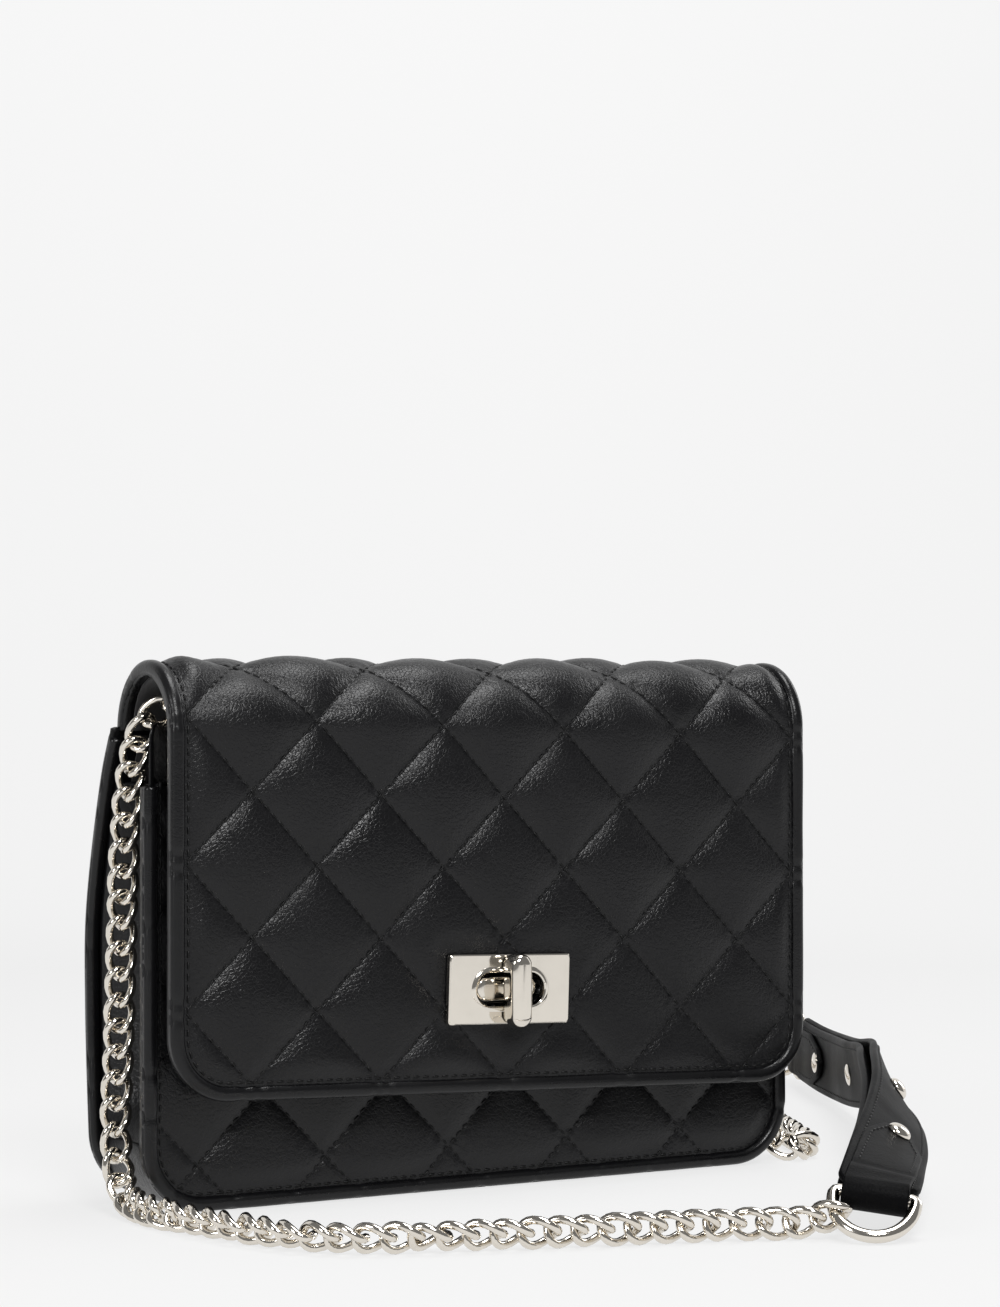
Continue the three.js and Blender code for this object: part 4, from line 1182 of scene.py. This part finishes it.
def make_lock():
    front = PLATE_FRONT
    face = plate_mesh(front, front + 2 * MM, PLATE_HALF, SLOT_HALF, 1.5 * MM)
    piece = face.piece("lock_face_plate", NICKEL, "flap", "nickel", smooth=False)
    crease_smooth(piece, 35)
    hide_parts("lock_plate")
    back = low("flap_back_plate")[1]
    rear = plate_mesh(back + 0.8 * MM, back, PLATE_HALF, SLOT_HALF, 1.0 * MM, -0.2 * MM)
    piece = rear.piece("lock_inner_plate", NICKEL, "flap", "nickel", smooth=False)
    crease_smooth(piece, 35)
    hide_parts("flap_back_plate")
    boss_front, base_front = low("lock_base")[1], high("lock_base")[1] - 1.2 * MM
    crown = 3.4 * MM
    profile = [(2.8 * MM, boss_front - crown), (1.5 * MM, boss_front - crown + 0.06 * MM),
               (0.9 * MM, boss_front - crown + 0.3 * MM), (0.5 * MM, boss_front - crown + 0.9 * MM),
               (0.0, boss_front), (0.0, base_front)]
    base = bar_mesh(Patch(), 10.4 * MM, 4.05 * MM, profile)
    flange = [(6 * MM, base_front), (0.5 * MM, base_front), (0, base_front + 0.4 * MM),
              (0, base_front + 1.1 * MM), (6 * MM, base_front + 1.15 * MM)]
    bar_mesh(base, 12.25 * MM, 6.5 * MM, flange)
    piece = base.piece("lock_raised_base", NICKEL, "purse", "nickel", smooth=False)
    crease_smooth(piece, 40)
    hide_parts("lock_base")
    knob_front, knob_back = low("turn_knob")[1], PLATE_FRONT - 0.6 * MM
    depth = knob_back - knob_front
    edge = [(2.7 * MM, 0.0), (1.7 * MM, 0.12 * MM), (1.0 * MM, 0.42 * MM), (0.45 * MM, 0.9 * MM),
            (0.12 * MM, 1.5 * MM), (0.0, 2.2 * MM)]
    profile = [(inset, knob_front + d) for inset, d in edge]
    profile += [(0.1 * MM, knob_front + depth * 0.6), (0.45 * MM, knob_back - 0.5 * MM),
                (0.8 * MM, knob_back)]
    knob = bar_mesh(Patch(), 3.3 * MM, 10.3 * MM, profile)
    bar_mesh(knob, 2.0 * MM, 2.6 * MM, [(0, knob_back - 0.4 * MM), (0.2 * MM, boss_front - crown),
                                         (0, boss_front)])
    shaft = np.array([(0, y, LOCK_Z) for y in np.linspace(boss_front, high("turn_knob")[1], 8)])
    round_tube(shaft, 2 * MM, 16, patch=knob)
    piece = knob.piece("lock_turn_knob", NICKEL, "knob", "nickel", smooth=False)
    crease_smooth(piece, 40)
    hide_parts("turn_knob")


def crease_smooth(piece, degrees):
    """Smooth shading everywhere but over edges sharper than the angle."""
    mesh = piece.data
    mesh.shade_smooth()
    mesh.set_sharp_from_angle(angle=math.radians(degrees))


# ---------- strap anchors ----------
def make_anchors():
    for word in ("left", "right"):
        lo, hi = low(f"anchor_ring_{word}"), high(f"anchor_ring_{word}")
        centre = (lo + hi) / 2
        angle = np.arange(48) * 2 * np.pi / 48
        radius, wire = 5.5 * MM, 1.1 * MM
        line = centre + radius * np.stack([0 * angle, np.cos(angle), np.sin(angle)], 1)
        ring = round_tube(line, wire, 12, (1, 0, 0), closed=True)
        piece = ring.piece(f"{word}_anchor_ring", NICKEL, f"anchor_ring_{word}_body", "nickel")
        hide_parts(f"anchor_ring_{word}")
        # A leather loop sewn to the gusset holds the ring.
        lo, hi = low(f"anchor_tab_{word}"), high(f"anchor_tab_{word}")
        x, y = (lo[0] + hi[0]) / 2, (lo[1] + hi[1]) / 2
        eye = centre[2] - radius
        reach = 2.5 * MM
        turn = np.linspace(-0.2, np.pi + 0.2, 17)
        foot = [(y - reach * 0.55, lo[2]), (y - reach * 0.8, (lo[2] + eye) / 2)]
        loop = foot + [(y - reach * math.cos(a), eye + reach * math.sin(a)) for a in turn]
        loop += [(2 * y - p[0], p[1]) for p in foot[::-1]]
        path = even(np.array([(x, a, b) for a, b in loop]), 0.7 * MM)
        section = box_section(2.6 * MM, 0.65 * MM, 0.5 * MM, 3)
        across = np.tile([1.0, 0, 0], (len(path), 1))
        rings = rings_along(path, across, np.cross(tangents(path), across), section)
        piece = Patch().tube(rings).piece(f"{word}_anchor_loop", STRAP_LEATHER, "purse", "leather")
        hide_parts(f"anchor_tab_{word}")


# ---------- carried-over parts ----------
def dress_hidden_parts():
    """Parts that keep their plain shape inside the purse."""
    for name, material in (("base_board", BOARD), ("lock_washer", NICKEL), ("lock_spring", NICKEL)):
        part = bpy.data.objects[name]
        part.data.materials.clear()
        part.data.materials.append(material)


# ---------- stage ----------
def make_stage():
    """A pale sweep: flat floor, curving up into a wall behind."""
    turn = np.linspace(0, np.pi / 2, 20)
    bend = [(1.2 + 0.8 * math.sin(a), 0.8 * (1 - math.cos(a))) for a in turn]
    profile = [(-9.0, 0.0), (-2.5, 0.0), (1.2, 0.0)] + bend + [(2.0, 4.0)]
    forward = np.array([math.sin(math.radians(30)), math.cos(math.radians(30))])
    side = np.array([forward[1], -forward[0]])
    rows = [[(*(forward * d + side * w), h) for w in (-9.0, 9.0)] for d, h in profile]
    sweep = Patch().grid(np.array(rows))
    mesh = bpy.data.meshes.new("studio_sweep")
    mesh.from_pydata(np.vstack(sweep.points).tolist(), [], sweep.faces)
    mesh.materials.append(studio_white("matt_studio_board", "#626262", 0.95, 0.745))
    mesh.shade_smooth()
    floor = bpy.data.objects.new("studio_sweep", mesh)
    bpy.context.scene.collection.objects.link(floor)


def soft_light(name, place, target, size, power):
    data = bpy.data.lights.new(name, "AREA")
    data.shape = "RECTANGLE"
    data.size, data.size_y = size
    data.energy = power
    lamp = bpy.data.objects.new(name, data)
    lamp.location = place
    lamp.rotation_euler = (Vector(target) - Vector(place)).to_track_quat("-Z", "Y").to_euler()
    bpy.context.scene.collection.objects.link(lamp)


def make_lights():
    middle = (0.02, 0.0, 0.06)
    soft_light("overhead_softbox", (0.2, -0.1, 1.3), middle, (0.7, 0.45), 9)
    soft_light("front_softbox", (-0.25, -0.95, 0.9), middle, (0.4, 0.28), 10)
    soft_light("left_softbox", (-1.2, -0.35, 0.6), middle, (0.3, 0.5), 5)
    soft_light("right_edge", (1.4, 0.2, 0.7), middle, (0.3, 0.9), 4)
    soft_light("wall_wash", (0.4, 0.8, 1.1), (1.0, 1.9, 0.9), (1.6, 0.4), 16)
    world = bpy.data.worlds.new("studio")
    world.use_nodes = True
    bpy.context.scene.world = world
    backdrop = world.node_tree.nodes["Background"]
    backdrop.inputs["Color"].default_value = colour("#f2f2f2")
    backdrop.inputs["Strength"].default_value = 0.22
    bpy.context.scene.view_settings.view_transform = "Standard"


make_camera()
strap_rings = make_strap()
make_chains()
make_flap()
make_front()
make_back()
make_gussets()
make_base()
make_linings()
make_lock()
make_anchors()
dress_hidden_parts()
make_stage()
make_lights()
